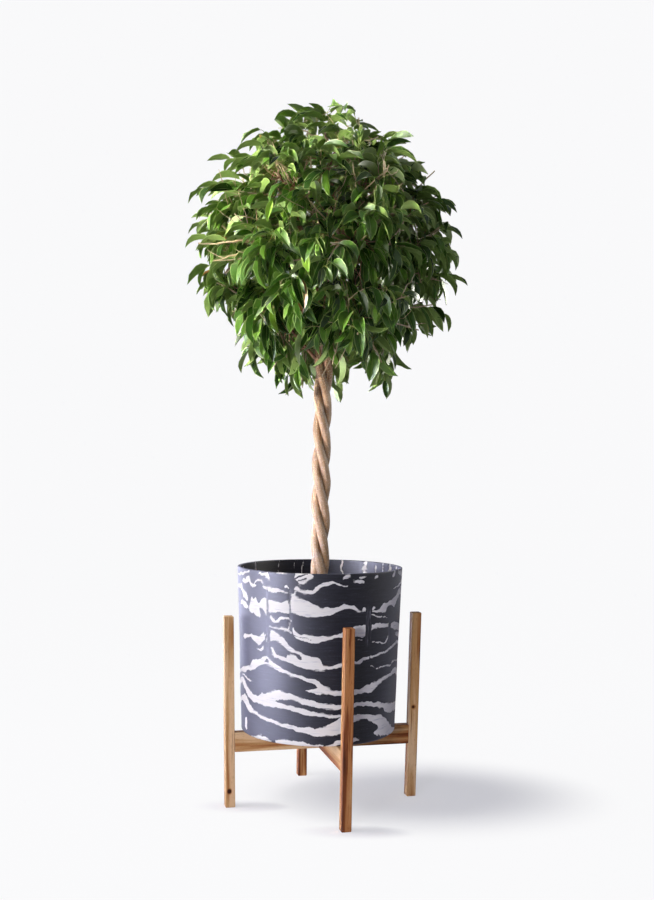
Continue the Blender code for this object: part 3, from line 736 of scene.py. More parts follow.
def make_soil():
    """The potting soil: a crumbly surface that rises to the stems, closed by a wall and a bottom."""
    low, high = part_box("soil")
    edge, foot = (high.x - low.x) / 2, low.z
    steps = np.linspace(0, 1, 52)
    top = np.stack((edge * (1 - steps), 0.3841 + 0.0095 * steps**2), -1)
    profile = np.concatenate(([(0, foot), (edge * 0.95, foot), (edge, 0.3700)], top[:-1], [(0, 0.3936)]))

    def crumble(grid, turn):
        """Raises the top by noise of 6, 14 and 50 mm, and fades it out at the edge."""
        flat = grid[2:].copy()
        waves = ((0.014, 3, 0.0011), (0.0062, 4, 0.0010), (0.05, 6, 0.0012))
        bumps = sum(smooth_noise(flat, size, seed) * high for size, seed, high in waves)
        fade = np.clip((edge - np.hypot(flat[..., 0], flat[..., 1])) / 0.004, 0, 1)
        grid[2:, :, 2] += np.abs(bumps) * fade - 0.0006 * fade
        return grid

    v, q, t = revolved(profile, 180, crumble)
    return [new_piece("potting_soil", v + PLANT_AT, [q, t], None, 70, ["soil"])]


# White ribbons in the planter's wall. Each has its stations round the wall: the turn in degrees about the
# planter, and the ribbon's lower and upper edges in millimetres above the floor.
RIBBONS = (
    ((-120, 434, 446), (-117.5, 423, 446), (-114, 424, 446), (-111, 430, 444), (-107.8, 435, 438)),
    ((-120.3, 413, 415), (-118.5, 410, 421), (-116, 407, 421), (-112, 407, 413.5), (-108, 406.5, 414),
     (-105, 413, 420), (-102, 420, 427), (-98.5, 422, 429), (-95, 424, 428), (-90, 421.5, 425),
     (-85, 419.8, 421)),
    ((-171, 419, 421), (-168.5, 419, 427), (-166, 415.5, 423), (-163, 418, 428), (-160, 419, 431.5),
     (-158, 411, 420), (-156, 410.5, 418), (-153, 412.5, 418), (-151.3, 415, 416)),
    ((-154, 418, 420.5), (-152.5, 421, 425), (-150.5, 424, 427.5), (-147.5, 425.5, 428), (-145.5, 421, 427),
     (-144, 415, 420)),
    ((-148, 437, 441), (-145, 434, 438), (-143, 436, 441), (-141, 430, 440), (-139, 426, 432)),
    ((-145.4, 413, 414.5), (-141.5, 409, 415.5), (-137, 407.5, 417), (-133.5, 405.5, 414),
     (-130, 407, 410.5), (-125.3, 406, 408)),
    ((-127.3, 413, 418), (-126, 418, 422), (-124.2, 417, 421), (-123.6, 402, 412)),
    ((-122.4, 401, 406), (-121, 399, 404), (-119.5, 402, 416)),
    ((-186, 404, 409), (-180, 403, 410), (-175.5, 404, 412), (-172.7, 401, 415), (-170.5, 390, 405),
     (-167, 381, 402), (-163.8, 380, 397), (-162.4, 386, 392)),
    ((-175.6, 375, 382), (-172, 376, 385.5), (-168, 371.5, 381), (-164.5, 369.5, 378), (-161.6, 369.5, 374)),
    ((-160.6, 366.5, 370), (-158.5, 364.5, 390), (-157, 364, 394), (-155, 365, 388), (-153, 362, 396),
     (-151.2, 360.5, 393), (-149.6, 359.5, 379), (-147.2, 360, 364)),
    ((-151, 374, 379), (-148.5, 376, 384), (-146, 377, 391), (-143.5, 378, 395), (-141.2, 374, 395)),
    ((-150.5, 366, 374), (-148.5, 374.5, 377), (-145, 376, 378.5), (-142.5, 364, 377), (-141.2, 360.5, 370)),
    ((-140.2, 371, 394), (-137, 370.5, 390.5), (-133, 371.5, 389.5), (-129.5, 373, 390), (-127, 372, 393.5),
     (-123.9, 369.5, 395.5)),
    ((-123, 372, 405), (-119.5, 369, 402), (-115, 367, 399), (-110, 366.3, 392), (-105, 366.5, 387),
     (-102.5, 368, 381.5), (-99, 369.5, 383), (-95.5, 370.5, 382), (-93, 374, 384), (-90, 377.5, 386),
     (-87.5, 379.5, 388.5), (-84, 379.5, 386.5), (-80, 378, 385.5), (-77, 376, 382), (-74.8, 374.5, 376)),
    ((-74, 374, 378), (-72.5, 374, 382), (-70.3, 374, 379)),
    ((-65.8, 374, 377), (-65, 378, 384), (-62.5, 378, 381)),
    ((-65.6, 373, 375.5), (-62, 371, 375), (-59, 370, 376), (-57, 369.5, 379), (-55, 369.5, 384),
     (-53, 369.5, 385), (-50.8, 370.5, 386.5), (-50, 378, 386.5), (-47, 380.5, 388), (-44, 379.5, 389.5),
     (-41.5, 378, 392), (-39.3, 374, 393), (-36, 382, 397), (-33, 388, 402), (-30, 394, 407),
     (-25, 396, 408.5), (-20, 393, 408)),
    ((-66.2, 367, 370), (-63, 363.5, 366.5), (-58, 360.5, 363), (-52, 358.5, 360.7), (-47.5, 357, 358.3)),
    ((-139, 362, 371.5), (-138, 355.5, 366), (-136.3, 353.5, 360), (-134, 353, 357), (-131.5, 354, 361),
     (-129.5, 358, 364), (-127, 360.5, 364), (-124, 359.5, 363.5), (-122.2, 355, 359)),
    ((-139.2, 344.5, 346.7), (-136, 342, 344.8), (-132, 342.3, 346), (-128, 340.5, 345.5),
     (-125, 338, 343.5), (-122.3, 333.5, 338)),
    ((-124.4, 343, 354), (-123.2, 341, 355)),
    ((-121.3, 338, 352), (-120.3, 332, 345), (-119, 328.5, 340), (-116, 324, 335.5), (-112, 321, 334),
     (-108, 320.3, 333), (-104, 321, 332.5), (-100, 323, 333), (-96, 326.5, 331.5), (-93, 329.5, 334),
     (-89, 330.5, 337), (-85, 330, 341), (-80, 330, 349), (-75, 329.5, 350), (-72.5, 328.5, 350),
     (-70.6, 328.5, 350)),
    ((-65.4, 340.5, 350), (-60, 342.3, 350), (-55, 341, 348.5), (-47, 341, 347)),
    ((-43.8, 338.5, 348.5), (-38, 334, 347), (-33, 331, 345), (-28, 328, 342), (-20, 325, 336)),
    ((-77, 323.5, 326), (-72, 322.8, 324.5)),
    ((-64.5, 318, 320), (-58, 315, 317.5), (-51, 312.7, 315), (-49, 314, 320), (-46.7, 320, 326)),
    ((-35, 322, 326), (-30, 318, 326), (-25, 313, 323), (-20, 313, 320)),
    ((-171.3, 316, 319), (-169, 314, 322.5), (-166, 315, 323.5), (-162, 318, 323), (-158.5, 320.3, 327),
     (-155, 316, 324.5), (-152, 311, 323.5), (-149.5, 308, 323.5), (-147, 313, 328), (-145, 318, 333),
     (-143.8, 323, 334)),
    ((-142.8, 322, 334), (-142.2, 312, 330)),
    ((-141, 318, 335), (-140.5, 306, 330)),
    ((-138.9, 318, 338), (-137, 320.5, 337), (-133.5, 320.5, 334.5), (-130, 315, 330.5), (-127, 309, 323),
     (-123, 304, 313.5), (-119, 300, 306), (-116, 295, 302), (-113.5, 288, 300.5), (-109, 280, 297.5)),
    ((-152.3, 300.5, 303), (-149, 299.3, 302), (-147, 299.7, 304), (-144.9, 301.5, 311.5)),
    ((-138.6, 305.5, 310), (-137.3, 303, 309.5), (-136.3, 295, 308), (-135.5, 293, 303),
     (-134.7, 291.5, 297)),
    ((-137.3, 294, 296), (-135, 291.5, 297.5), (-132, 289.3, 295.5), (-128, 286.7, 293),
     (-125.2, 285, 290.5), (-124.9, 284.8, 300), (-122, 282, 300), (-119, 279.5, 298), (-117, 277.5, 290.5),
     (-114, 274.8, 291), (-111, 272.5, 298), (-106, 272, 295), (-103, 273, 293), (-101.6, 273.3, 288),
     (-100.6, 273.5, 281), (-96, 273.3, 279.5), (-92, 275, 280.5), (-88, 278, 284), (-82, 281, 286),
     (-78, 281.5, 287), (-76, 281.5, 287), (-74, 282, 289.5), (-71, 286.5, 292.5), (-66.6, 289, 293.5)),
    ((-65.4, 290, 294), (-60, 291.3, 295), (-55, 293.3, 297), (-50, 295, 299), (-45, 297.3, 302),
     (-40, 300.5, 305), (-36, 303, 308), (-33, 305, 310), (-28, 303.5, 309.5), (-20, 300, 306)),
    ((-186, 241, 249), (-180, 247, 252), (-176, 250, 256.5), (-170, 252.5, 263), (-165, 257.5, 264.5),
     (-160, 258, 268), (-157, 262, 279), (-153, 266, 282), (-150, 270, 283), (-147, 275, 287),
     (-144.5, 276, 290), (-142, 275.5, 291.5), (-139.5, 274.5, 286.5), (-136, 270, 280.5),
     (-131, 266, 275.5), (-126, 262.5, 269), (-120, 259, 264), (-115, 256, 261.5), (-110, 252, 259),
     (-106, 248.5, 258), (-104, 243, 254), (-103, 240, 252), (-101, 233, 247), (-98, 230, 243),
     (-94, 228, 238), (-90, 227, 236), (-84, 227.5, 236), (-78, 228, 236.3), (-74, 228.5, 237),
     (-70, 228, 240), (-67, 227.5, 242.5), (-64, 227, 244), (-62, 230, 244.7), (-60, 233, 246),
     (-57, 239, 248.5), (-53, 243, 250.5), (-50, 245.5, 252), (-48, 247, 253.5), (-44, 249.5, 255),
     (-38, 250.5, 258), (-33, 251, 261), (-30, 248.5, 259.5), (-25, 243.5, 255), (-20, 239, 250)),
    ((-112.3, 236, 237), (-109, 233, 238), (-106, 231, 239), (-104, 230, 241), (-101, 229, 241)),
    ((-176, 245, 246.3), (-171, 246, 249), (-167, 242, 246), (-163, 239.3, 242), (-157.5, 239.3, 240.3)),
    ((-186, 217, 229), (-180, 226, 237), (-175, 232, 241), (-172, 225, 241), (-168, 216, 233),
     (-163, 208, 223), (-158, 204.5, 219), (-151, 201.5, 216), (-147, 201.3, 222), (-142, 201.5, 224.5),
     (-136, 202, 232), (-131, 202, 234), (-126, 201, 231), (-118, 197.5, 225.5), (-109, 193, 219),
     (-101.5, 190.5, 214.5), (-96, 189, 212.5), (-88, 188, 211.3), (-78, 186, 212), (-75, 184, 213),
     (-70, 183, 213), (-65, 181, 211), (-60, 176, 210), (-58, 171, 209)),
    ((-62, 203, 210.3), (-60, 201.5, 210), (-55, 198, 207.5), (-50, 194, 204.7), (-48, 187.5, 203.3),
     (-43, 183.5, 201), (-36, 181, 198), (-28, 179.5, 195), (-20, 178, 194)),
    ((-84, 172, 190), (-78, 180, 192), (-74, 182, 190.7), (-70, 182.5, 189.3), (-66, 180.5, 188.7),
     (-62, 174, 187.5), (-58.5, 169, 186), (-55.5, 164, 184.3), (-54.3, 150, 183.8), (-52, 145, 182),
     (-48, 144, 177), (-44, 143, 170.5), (-40, 141.5, 164.5), (-36, 140.7, 157), (-33, 139.5, 152),
     (-30, 139, 148.5), (-20, 137, 143)),
    ((-59.6, 151.5, 153), (-57, 147.5, 157), (-54.5, 146, 161)),
    ((-186, 188, 196), (-178, 196, 206), (-174, 197, 209), (-170, 192, 211), (-167, 187, 208.5),
     (-162, 183, 197), (-157, 180.5, 189.3), (-150, 178, 184.3), (-142, 175, 180.3), (-135, 172, 177.3),
     (-128, 168.5, 174.5), (-120, 164.5, 172.7), (-112, 160.5, 171), (-106, 157.7, 169.7), (-104, 157, 170),
     (-103.4, 157, 173), (-98, 156, 175), (-95, 156, 178.5), (-92, 157.5, 183), (-88, 160, 186.5),
     (-84, 166, 189), (-80, 176, 191)),
    ((-162, 138.5, 140), (-157, 138.5, 141), (-153, 138, 144.5), (-149, 138.5, 146.7), (-145, 138.5, 146),
     (-141, 138, 142.5), (-138, 138, 139.5)),
    ((-134.8, 137, 145.5), (-128, 137, 146.5), (-122, 137, 146), (-115, 137, 145), (-110, 137, 144),
     (-105, 137, 141.5), (-100, 137, 139)),
    ((-98, 138, 139.5), (-94, 138.3, 143), (-90, 139, 148), (-85, 140.5, 151), (-80, 143, 152),
     (-76, 142.5, 149.7), (-73.3, 144.3, 146)),
    ((-171.3, 151, 167), (-169.5, 147, 169), (-167.3, 148, 168.5)),
    ((-64.7, 273.3, 275.7), (-62, 270.5, 272.7), (-58, 269.3, 271.5), (-54, 269, 271), (-50, 270.3, 273),
     (-46.5, 269, 272), (-43, 266, 269), (-40.3, 265.7, 267)),
    ((-40.5, 270, 272), (-38, 272, 275.7), (-35, 272.5, 276), (-31, 272, 274.7), (-28, 271, 273.7),
     (-24, 271, 275), (-20, 270, 275)),
    ((-34.5, 437, 441), (-30, 431, 439), (-25, 427.5, 437), (-20, 424, 435)),
    ((-42, 409.5, 410.8), (-35, 410.5, 413), (-28, 412.5, 417), (-20, 414, 423)),
    ((-88, 432, 435), (-86.5, 433, 441), (-84.5, 434, 442), (-83, 436, 440)),
    ((-81, 428, 430), (-78, 426.5, 432), (-75, 425, 431), (-72, 425, 428)),
    ((-77.5, 434, 436.5), (-74.5, 433.5, 438), (-71.5, 434.5, 436.5)),
    ((-64, 431, 434), (-62.8, 432, 438.5), (-61.5, 434, 438)),
    ((-44, 432.5, 436), (-42.5, 430.5, 441), (-40, 436, 443)),
    ((-133, 441, 445), (-128, 440.5, 446), (-124.5, 442, 445)),
    ((-184, 427, 430), (-176, 428, 432), (-170, 430.5, 435), (-165, 434, 438), (-159, 438, 442)),
)

# Dark lenses inside the ribbons, in the same terms.
LENSES = (
    ((-133.8, 211.8, 212.6), (-131.5, 211, 216), (-129.5, 210.5, 218), (-126, 208.5, 218),
     (-121, 207, 217.7), (-115, 204.5, 212.3), (-108, 200.3, 209), (-102, 197.2, 206), (-96, 194.5, 204),
     (-88, 192.7, 204), (-78, 192, 206), (-70, 191, 206), (-64, 188.8, 204), (-60, 187, 201.7),
     (-55, 184.5, 198)),
    ((-144, 279.5, 281), (-142.6, 279.5, 286), (-141.8, 279.3, 288.5), (-140.3, 279.3, 282)),
    ((-125.2, 297, 300), (-122, 299.5, 303), (-119, 297.5, 301), (-117.6, 291.5, 299.5), (-116, 292, 298),
     (-114.6, 291.5, 296)),
    ((-172.3, 383, 387), (-169, 384, 389), (-166, 380, 385), (-163.6, 378, 381)),
    ((-119, 421.5, 424), (-117, 413, 419), (-115, 413, 421), (-112.5, 413.5, 421)),
    ((-120.8, 334.5, 336), (-118, 331, 333), (-114, 327.5, 329.3), (-108.5, 325.8, 327.2)),
    ((-119.6, 431.5, 434), (-117, 434.5, 438.5), (-114.5, 437.5, 440.5), (-111.5, 440, 441.5)),
    ((-118.6, 426.5, 428.5), (-115.5, 429, 432), (-112, 432.5, 434.3)),
)

# Turns where the moulding folded, the heights each fold runs between in millimetres, and its half width in
# degrees.
FOLDS = ((-141.0, 290, 416, 0.9), (-123.4, 333, 420, 0.5), (-68.0, 310, 386, 2.0), (-45.3, 300, 352, 1.4),
         (2.0, 320, 420, 0.8), (41.0, 300, 400, 1.3), (83.0, 330, 425, 0.6), (128.0, 290, 405, 1.5),
         (152.0, 335, 420, 0.7))

# Upright streaks on the inner wall: the turn in degrees, the half width in millimetres, and the lower and
# upper ends.
INNER_STREAKS = ((110, 0.7, 405, 441), (97, 0.5, 400, 437), (90, 0.6, 410, 440), (71, 0.8, 396, 433),
                 (59, 1.6, 404, 443), (39, 4.2, 398, 443), (28, 1.4, 402, 440), (20, 1.2, 408, 443),
                 (10, 5.0, 415, 444), (-4, 3.0, 402, 440), (135, 1.6, 404, 441), (158, 2.6, 396, 438),
                 (-178, 0.9, 405, 443), (-160, 3.2, 400, 440), (-131, 0.8, 402, 436), (-112, 2.2, 410, 444),
                 (-84, 1.0, 397, 441), (-62, 3.6, 405, 443), (-38, 1.2, 400, 438), (-22, 1.8, 411, 444))

BACK_SPAN = (-20.0, 174.0)  # the turns that the listed ribbons leave free

# Where a ribbon leaves the first end of that span and the height where it meets the other: middle and half
# width.
BACK_ENDS = ((400.5, 7.5, 406.5, 2.6), (418.5, 4.5, 429.0, 2.0), (330.5, 5.5, 352.0, 2.0),
             (303.0, 3.0, 317.0, 4.0), (244.5, 5.5, 245.0, 4.0), (186.0, 8.0, 192.0, 4.0),
             (140.0, 3.0, 160.0, 3.0), (272.5, 2.5, 283.0, 2.5), (222.0, 2.0, 223.0, 6.0),
             (368.0, 2.0, 378.0, 2.5), (164.0, 3.0, 150.0, 2.0))


def back_ribbons():
    """Ribbons and lenses for the wall's other side, made in the same manner as the listed ones.

    All follow one slow flow, a sum of three sines that is nil at both ends of the span. Along each, the
    half width is its usual one times 1.1 plus a wandering value, so that it swells, thins and here and
    there ends and starts again; a few split round a dark lens.
    """
    rng = np.random.default_rng(11)
    first, last = BACK_SPAN
    turn = np.arange(first, last + 0.1, 2.0)
    share = (turn - first) / (last - first)
    flow = np.sin(math.pi * share) * (13 * np.sin(2 * math.pi * 1.3 * share + 0.6)
                                      + 7 * np.sin(2 * math.pi * 2.9 * share + 2.0))
    flow = flow + 3.5 * np.sin(math.pi * share) * np.sin(2 * math.pi * 5.1 * share + 1.0)
    wander = lambda bends: np.interp(turn, np.linspace(first, last, bends), rng.normal(0, 1, bends))
    ribbons, lenses = [], []
    rows = [(at, wide, to, thin, 0.0) for at, wide, to, thin in BACK_ENDS]
    rows += [(at, 2.6, at + rng.normal(0, 5), 2.6, 0.9)
             for at in (430, 385, 348, 318, 288, 258, 232, 206, 176, 150)]
    for at, wide, to, thin, broken in rows:
        middle = at + (to - at) * share + flow * rng.uniform(0.8, 1.15)
        middle = middle + np.sin(math.pi * share) * 3.0 * wander(12)
        usual = wide + (thin - wide) * share + 4.2 * np.sin(math.pi * share) * (1 - 0.5 * (broken > 0))
        keep = 1.1 - broken + np.minimum(1, 4 * np.sin(math.pi * share)) * 0.75 * wander(15)
        upper, lower = usual * (keep + 0.20 * wander(26)), usual * (keep + 0.20 * wander(26))
        open_ = (upper + lower) > 0.4
        edges = np.flatnonzero(np.diff(np.concatenate(([0], open_.astype(int), [0]))))
        for a, b in zip(edges[::2], edges[1::2]):
            if b - a >= 3:
                ribbons.append(tuple(zip(turn[a:b], (middle - lower)[a:b], (middle + upper)[a:b])))
                if b - a >= 14:
                    c = a + (b - a) // 3
                    d = c + (b - a) // 3
                    swell = np.sin(np.linspace(0, math.pi, d - c)) ** 0.7
                    tilt = np.linspace(-0.25, 0.25, d - c) * (upper + lower)[c:d]
                    lens = 0.30 * (upper + lower)[c:d] * swell
                    lenses.append(tuple(zip(turn[c:d], middle[c:d] + tilt - lens, middle[c:d] + tilt + lens)))
    return ribbons, lenses


def depth_in(turn, height, stations):
    """Depth in millimetres of points inside one ribbon, negative outside it.

    Its edges run through its stations, rounded over a degree or so, and it ends square at its first and
    last one.
    """
    stations = np.asarray(stations, float)
    first, last = stations[0, 0], stations[-1, 0]
    fine = np.arange(first - 2, last + 2.01, 0.25)
    soften = np.exp(-(np.arange(-6, 7) * 0.25 / 0.55) ** 2)
    soften /= soften.sum()
    low, high = (np.convolve(np.pad(np.interp(fine, stations[:, 0], stations[:, k]), 6, "edge"), soften,
                             "valid") for k in (1, 2))
    t = first + (turn - first + 90) % 360 - 90
    end = np.minimum(t - first, last - t) * 2.7
    return np.minimum(np.minimum(height - np.interp(t, fine, low), np.interp(t, fine, high) - height), end)


WALL, WALL_TAPER = 0.0065, 0.0361  # its thickness, and how much its radius shrinks per unit down
LIP, FLOOR = 0.0014, 0.007  # the lip's radius and the floor's thickness
FOOT_IN, FOOT_ROUND = 0.011, 0.004  # how much smaller the foot's radius is than the rim's, and its rounding


def marbling(points):
    """Depth in millimetres inside the white at points of the planter, and how far in a fold, from 0 to 1.

    The white is the union of the ribbons without the lenses on the outside, and upright streaks on the
    inner wall.
    """
    away = points - PLANT_AT
    turn = np.degrees(np.arctan2(away[:, 1], away[:, 0]))
    height = away[:, 2] * 1000
    radius = np.hypot(away[:, 0], away[:, 1])
    # The flow wavers by up to a millimetre, so that no edge is ruled.
    wavering = height + 0.9 * smooth_noise(points, 0.022, 61) + 0.45 * smooth_noise(points, 0.008, 62)
    shifted = turn + 0.35 * smooth_noise(points, 0.016, 63)
    more, holes = back_ribbons()
    white = np.full(len(points), -8.0)
    for ribbon in (*RIBBONS, *more):
        white = np.maximum(white, depth_in(shifted, wavering, ribbon))
    for lens in (*LENSES, *holes):
        white = np.minimum(white, -depth_in(shifted, wavering, lens))
    fold = np.zeros(len(points))
    for at, low, high, half in FOLDS:
        near = np.abs((turn - at + 180) % 360 - 180 + 0.25 * smooth_noise(points, 0.02, 64)) / half
        run = np.clip((height - low) / 12, 0, 1) * np.clip((high - height) / 12, 0, 1)
        fold = np.maximum(fold, np.exp(-near**4) * run)
    streaks = np.full(len(points), -8.0)
    for at, half, low, high in INNER_STREAKS:
        off = np.abs((turn - at + 180) % 360 - 180 + 0.6 * smooth_noise(points, 0.03, 65)) * 2.6
        swell = half * (1 + 0.5 * smooth_noise(points, 0.012, 266 + round(at)))
        streaks = np.maximum(streaks, np.minimum(swell - off, np.minimum(height - low, high - height)))
    wall = (POT_HIGH[0] - POT_LOW[0]) / 2 - 0.0038 - (POT_HIGH[2] - away[:, 2]) * WALL_TAPER
    inside = (radius < wall) & (height > POT_LOW[2] * 1000 + 4)
    return np.where(inside, streaks, white).clip(-8, 8), np.where(inside, 0, fold)


def make_planter():
    """The planter: a wall profile carried round +Z, with a rounded lip and foot, and drain holes below.

    The moulded wall is not quite true: it waves by a few tenths of a millimetre, and is pinched in a little
    at its folds. Attributes hold the depth inside the marbling's white and the folds.
    """
    bottom, rim, rim_radius = POT_LOW[2], POT_HIGH[2], (POT_HIGH[0] - POT_LOW[0]) / 2
    foot_radius, inner = rim_radius - FOOT_IN, rim_radius - WALL
    low, high = bottom + FOOT_ROUND, rim - LIP
    arc = np.linspace(0, math.pi / 2, 5)
    foot = [(foot_radius - FOOT_ROUND + FOOT_ROUND * math.sin(a), low - FOOT_ROUND * math.cos(a))
            for a in arc]
    wall = [(foot_radius + FOOT_IN * climb, low + (high - low) * climb)
            for climb in np.linspace(0, 1, 165)[1:]]
    lip = [(rim_radius - LIP + LIP * math.cos(a), high + LIP * math.sin(a)) for a in arc[1:]]
    lip += [(inner + LIP - LIP * math.sin(a), high + LIP * math.cos(a)) for a in arc]
    # Inside, rows lie close together above the soil, where the wall is seen, and far apart below it.
    seen, hidden = np.arange(1, 24) * 0.0028, np.linspace(0.09, rim - bottom - 0.0114, 6)
    inside = [(inner - WALL_TAPER * down, high - down) for down in (*seen, *hidden)]
    floor = [(radius, bottom + FLOOR) for radius in (foot_radius - 0.0095, 0.095, 0.055, 0)]
    profile = [(0, bottom), (0.055, bottom), (0.095, bottom)] + foot + wall + lip + inside + floor

    def wave(grid, turn):
        """Moves each point along its own radius: slow waves, and narrow grooves at the folds."""
        radius = np.hypot(grid[..., 0], grid[..., 1])
        share = np.clip((radius - 0.11) / 0.03, 0, 1)
        outside = np.zeros(radius.shape)
        outside[: 3 + len(foot) + len(wall)] = 1
        groove = np.zeros(radius.shape)
        for at, low, high, half in FOLDS:
            near = np.angle(np.exp(1j * (turn - math.radians(at)))) * 155 / 2.4
            height = grid[..., 2] * 1000
            run = np.clip((height - low) / 12, 0, 1) * np.clip((high - height) / 12, 0, 1)
            groove = np.maximum(groove, np.exp(-(near**2)) * run)
        move = share * (0.0004 * smooth_noise(grid, 0.11, 8) - 0.0005 * groove * outside)
        grid[..., :2] *= (1 + move / np.maximum(radius, 1e-6))[..., None]
        return grid

    v, q, t = revolved(profile, 420, wave)
    piece = new_piece("marbled_planter", v + PLANT_AT, [q, t], None, 50, ["planter"])
    # Four drain holes, 12 mm wide and 75 mm from the middle.
    turn = np.radians((45, 135, 225, 315))
    middle = np.stack((0.075 * np.cos(turn), 0.075 * np.sin(turn), 0 * turn + bottom - 0.01), -1) + PLANT_AT
    paths = middle[:, None] + np.linspace(0, 0.03, 3)[None, :, None] * UP
    cv, cq, ce = tubes(paths, np.full((4, 3), 0.006), 24)
    mesh = bpy.data.meshes.new("drill")
    mesh.from_pydata(cv.tolist(), [], cq.tolist() + ce.tolist())
    drill = bpy.data.objects.new("drill", mesh)
    bpy.context.scene.collection.objects.link(drill)
    cut = piece.modifiers.new("drain_holes", "BOOLEAN")
    cut.object, cut.operation, cut.solver = drill, "DIFFERENCE", "EXACT"
    finished = bpy.data.meshes.new_from_object(piece.evaluated_get(bpy.context.evaluated_depsgraph_get()))
    piece.modifiers.clear()
    piece.data = finished
    bpy.data.objects.remove(drill)
    finished.shade_smooth()
    finished.set_sharp_from_angle(angle=math.radians(50))
    points = np.empty(len(finished.vertices) * 3, np.float32)
    finished.vertices.foreach_get("co", points)
    for name, values in zip(("white_depth", "fold"), marbling(points.reshape(-1, 3).astype(float))):
        finished.attributes.new(name, "FLOAT", "POINT").data.foreach_set("value", values.astype(np.float32))
    return [piece]


def dress(material, *names):
    """Give the finished material to CAD nodes that stay as they are, or to pieces."""
    for name in names:
        piece = bpy.data.objects[name] if isinstance(name, str) else name
        if not piece.material_slots:
            piece.data.materials.append(material)
        for slot in piece.material_slots:
            slot.material = material


# ------------ materials
def fig_leaf(colours):
    """Living fig leaf: a waxy skin over thin green tissue.

    It gives the eye a broad soft gloss on a deep green upper face, a paler matt underside, a pale midrib
    and margin, close side veins, and light that glows through from behind. Each cell of the leaf map is
    another leaf.
    """
    material, tree, shader = new_material("fig_leaf_waxy")
    cells = add(tree, "VectorMath.MULTIPLY", add(tree, "UVMap", uv_map="OFBake"),
                (LEAF_COLUMNS, LEAF_ROWS, 1))
    cell = add(tree, "VectorMath.FLOOR", cells)
    cell_u, cell_v, _ = add(tree, "SeparateXYZ", add(tree, "VectorMath.FRACTION", cells), out=None)
    column, row, _ = add(tree, "SeparateXYZ", cell, out=None)
    index = add(tree, "Math.MULTIPLY_ADD", row, LEAF_COLUMNS, column)
    across = add(tree, "Math.ABSOLUTE", add(tree, "Math.MULTIPLY_ADD", cell_u, 1 / CELL_HALF,
                                            -0.5 / CELL_HALF))
    along = add(tree, "Math.MULTIPLY_ADD", cell_v, 1 / CELL_LENGTH, -CELL_EDGE / CELL_LENGTH)
    luck, other_luck = add(tree, "TexWhiteNoise", cell, noise_dimensions="2D", out=None)

    base = add(tree, "ValToRGB", luck, stops=(
        (0.0, colours["dark"]), (0.30, colours["deep"]), (0.70, colours["leaf"]), (1.0, colours["fresh"])))
    light = add(tree, "ValToRGB", luck, stops=((0.0, colours["leaf"]), (1.0, colours["fresh"])))
    # A yellowing leaf is green at its base, and a dry one darker at its tip.
    yellow = add(tree, "ValToRGB", along, stops=((0.1, "#6f9432"), (0.45, "#b9b043"), (1.0, "#c7a93e")))
    dry = add(tree, "ValToRGB", along, stops=((0.0, "#c39a63"), (0.6, "#b5834e"), (1.0, "#84562f")))
    for first, colour in ((LIGHT_CELL, light), (YOUNG_CELL, colours["young"]), (YELLOW_CELL, yellow),
                          (DRY_CELL, dry), (UNDER_CELL, colours["under"])):
        from_here = add(tree, "Math.GREATER_THAN", index, first - 0.5)
        base = add(tree, "Mix", {0: from_here, 6: base, 7: colour}, **COLOUR)
    is_under = from_here

    # The blade is 26 mm wide: its midrib and pale margin of 0.5 mm are drawn 1.3 mm wide so that they show.
    rib = add(tree, "MapRange", across, 0.12, 0.03, 0.0, 1.0, **SMOOTH)
    rim = add(tree, "MapRange", across, 0.85, 0.95, 0.0, 1.0, **SMOOTH)
    slant = add(tree, "Math.MULTIPLY_ADD", across, -0.16, along)
    # Side veins 2.5 mm apart on a blade of 54 mm, drawn wider than they are so that they show.
    veins = add(tree, "Math.SINE", add(tree, "Math.MULTIPLY", slant, 2 * math.pi * SIDE_VEINS))
    veins = add(tree, "Math.POWER", add(tree, "Math.MULTIPLY_ADD", veins, 0.5, 0.5), 5.0)
    mottle = add(tree, "TexNoise", {"Vector": cells, "Scale": 3.1, "Detail": 3.0, "Roughness": 0.6})
    wash = add(tree, "MapRange", mottle, 0.3, 0.7, 0.84, 1.16)
    base = add(tree, "Mix.MULTIPLY", {0: 1.0, 6: base, 7: add(tree, "CombineXYZ", wash, wash, wash)},
               **COLOUR)
    is_stalk = add(tree, "Math.GREATER_THAN", index, STALK_CELL - 0.5)
    for share, strength, colour in ((veins, 0.13, "#8fb061"), (rib, 0.45, colours["rib"]),
                                    (rim, 0.85, colours["rib"]), (is_stalk, 1.0, colours["stalk"])):
        share = add(tree, "Math.MULTIPLY", share, strength)
        base = add(tree, "Mix", {0: share, 6: base, 7: colour}, **COLOUR)

    rough = add(tree, "MapRange", add(tree, "SeparateColor", other_luck), 0.0, 1.0, 0.19, 0.34)
    height = add(tree, "Math.MULTIPLY_ADD", rib, -0.6, add(tree, "Math.MULTIPLY", mottle, 0.35))
    height = add(tree, "Math.MULTIPLY_ADD", veins, -0.10, height)
    fill(tree, shader, {
        "Base Color": base, "Roughness": add(tree, "Math.MULTIPLY_ADD", is_under, 0.22, rough), "IOR": 1.50,
        "Specular IOR Level": 0.34,
        "Normal": add(tree, "Bump", {"Height": height, "Strength": 0.55, "Distance": 0.0006})})
    glow = add(tree, "Mix.MULTIPLY", {0: 1.0, 6: base, 7: "#d6ec74"}, **COLOUR)
    glow = add(tree, "BrightContrast", glow, 0.05)
    through = add(tree, "BsdfTranslucent", glow)
    whole = add(tree, "MixShader", 0.10, shader.outputs[0], through)
    fill(tree, tree.nodes["Material Output"], {"Surface": whole})
    return material


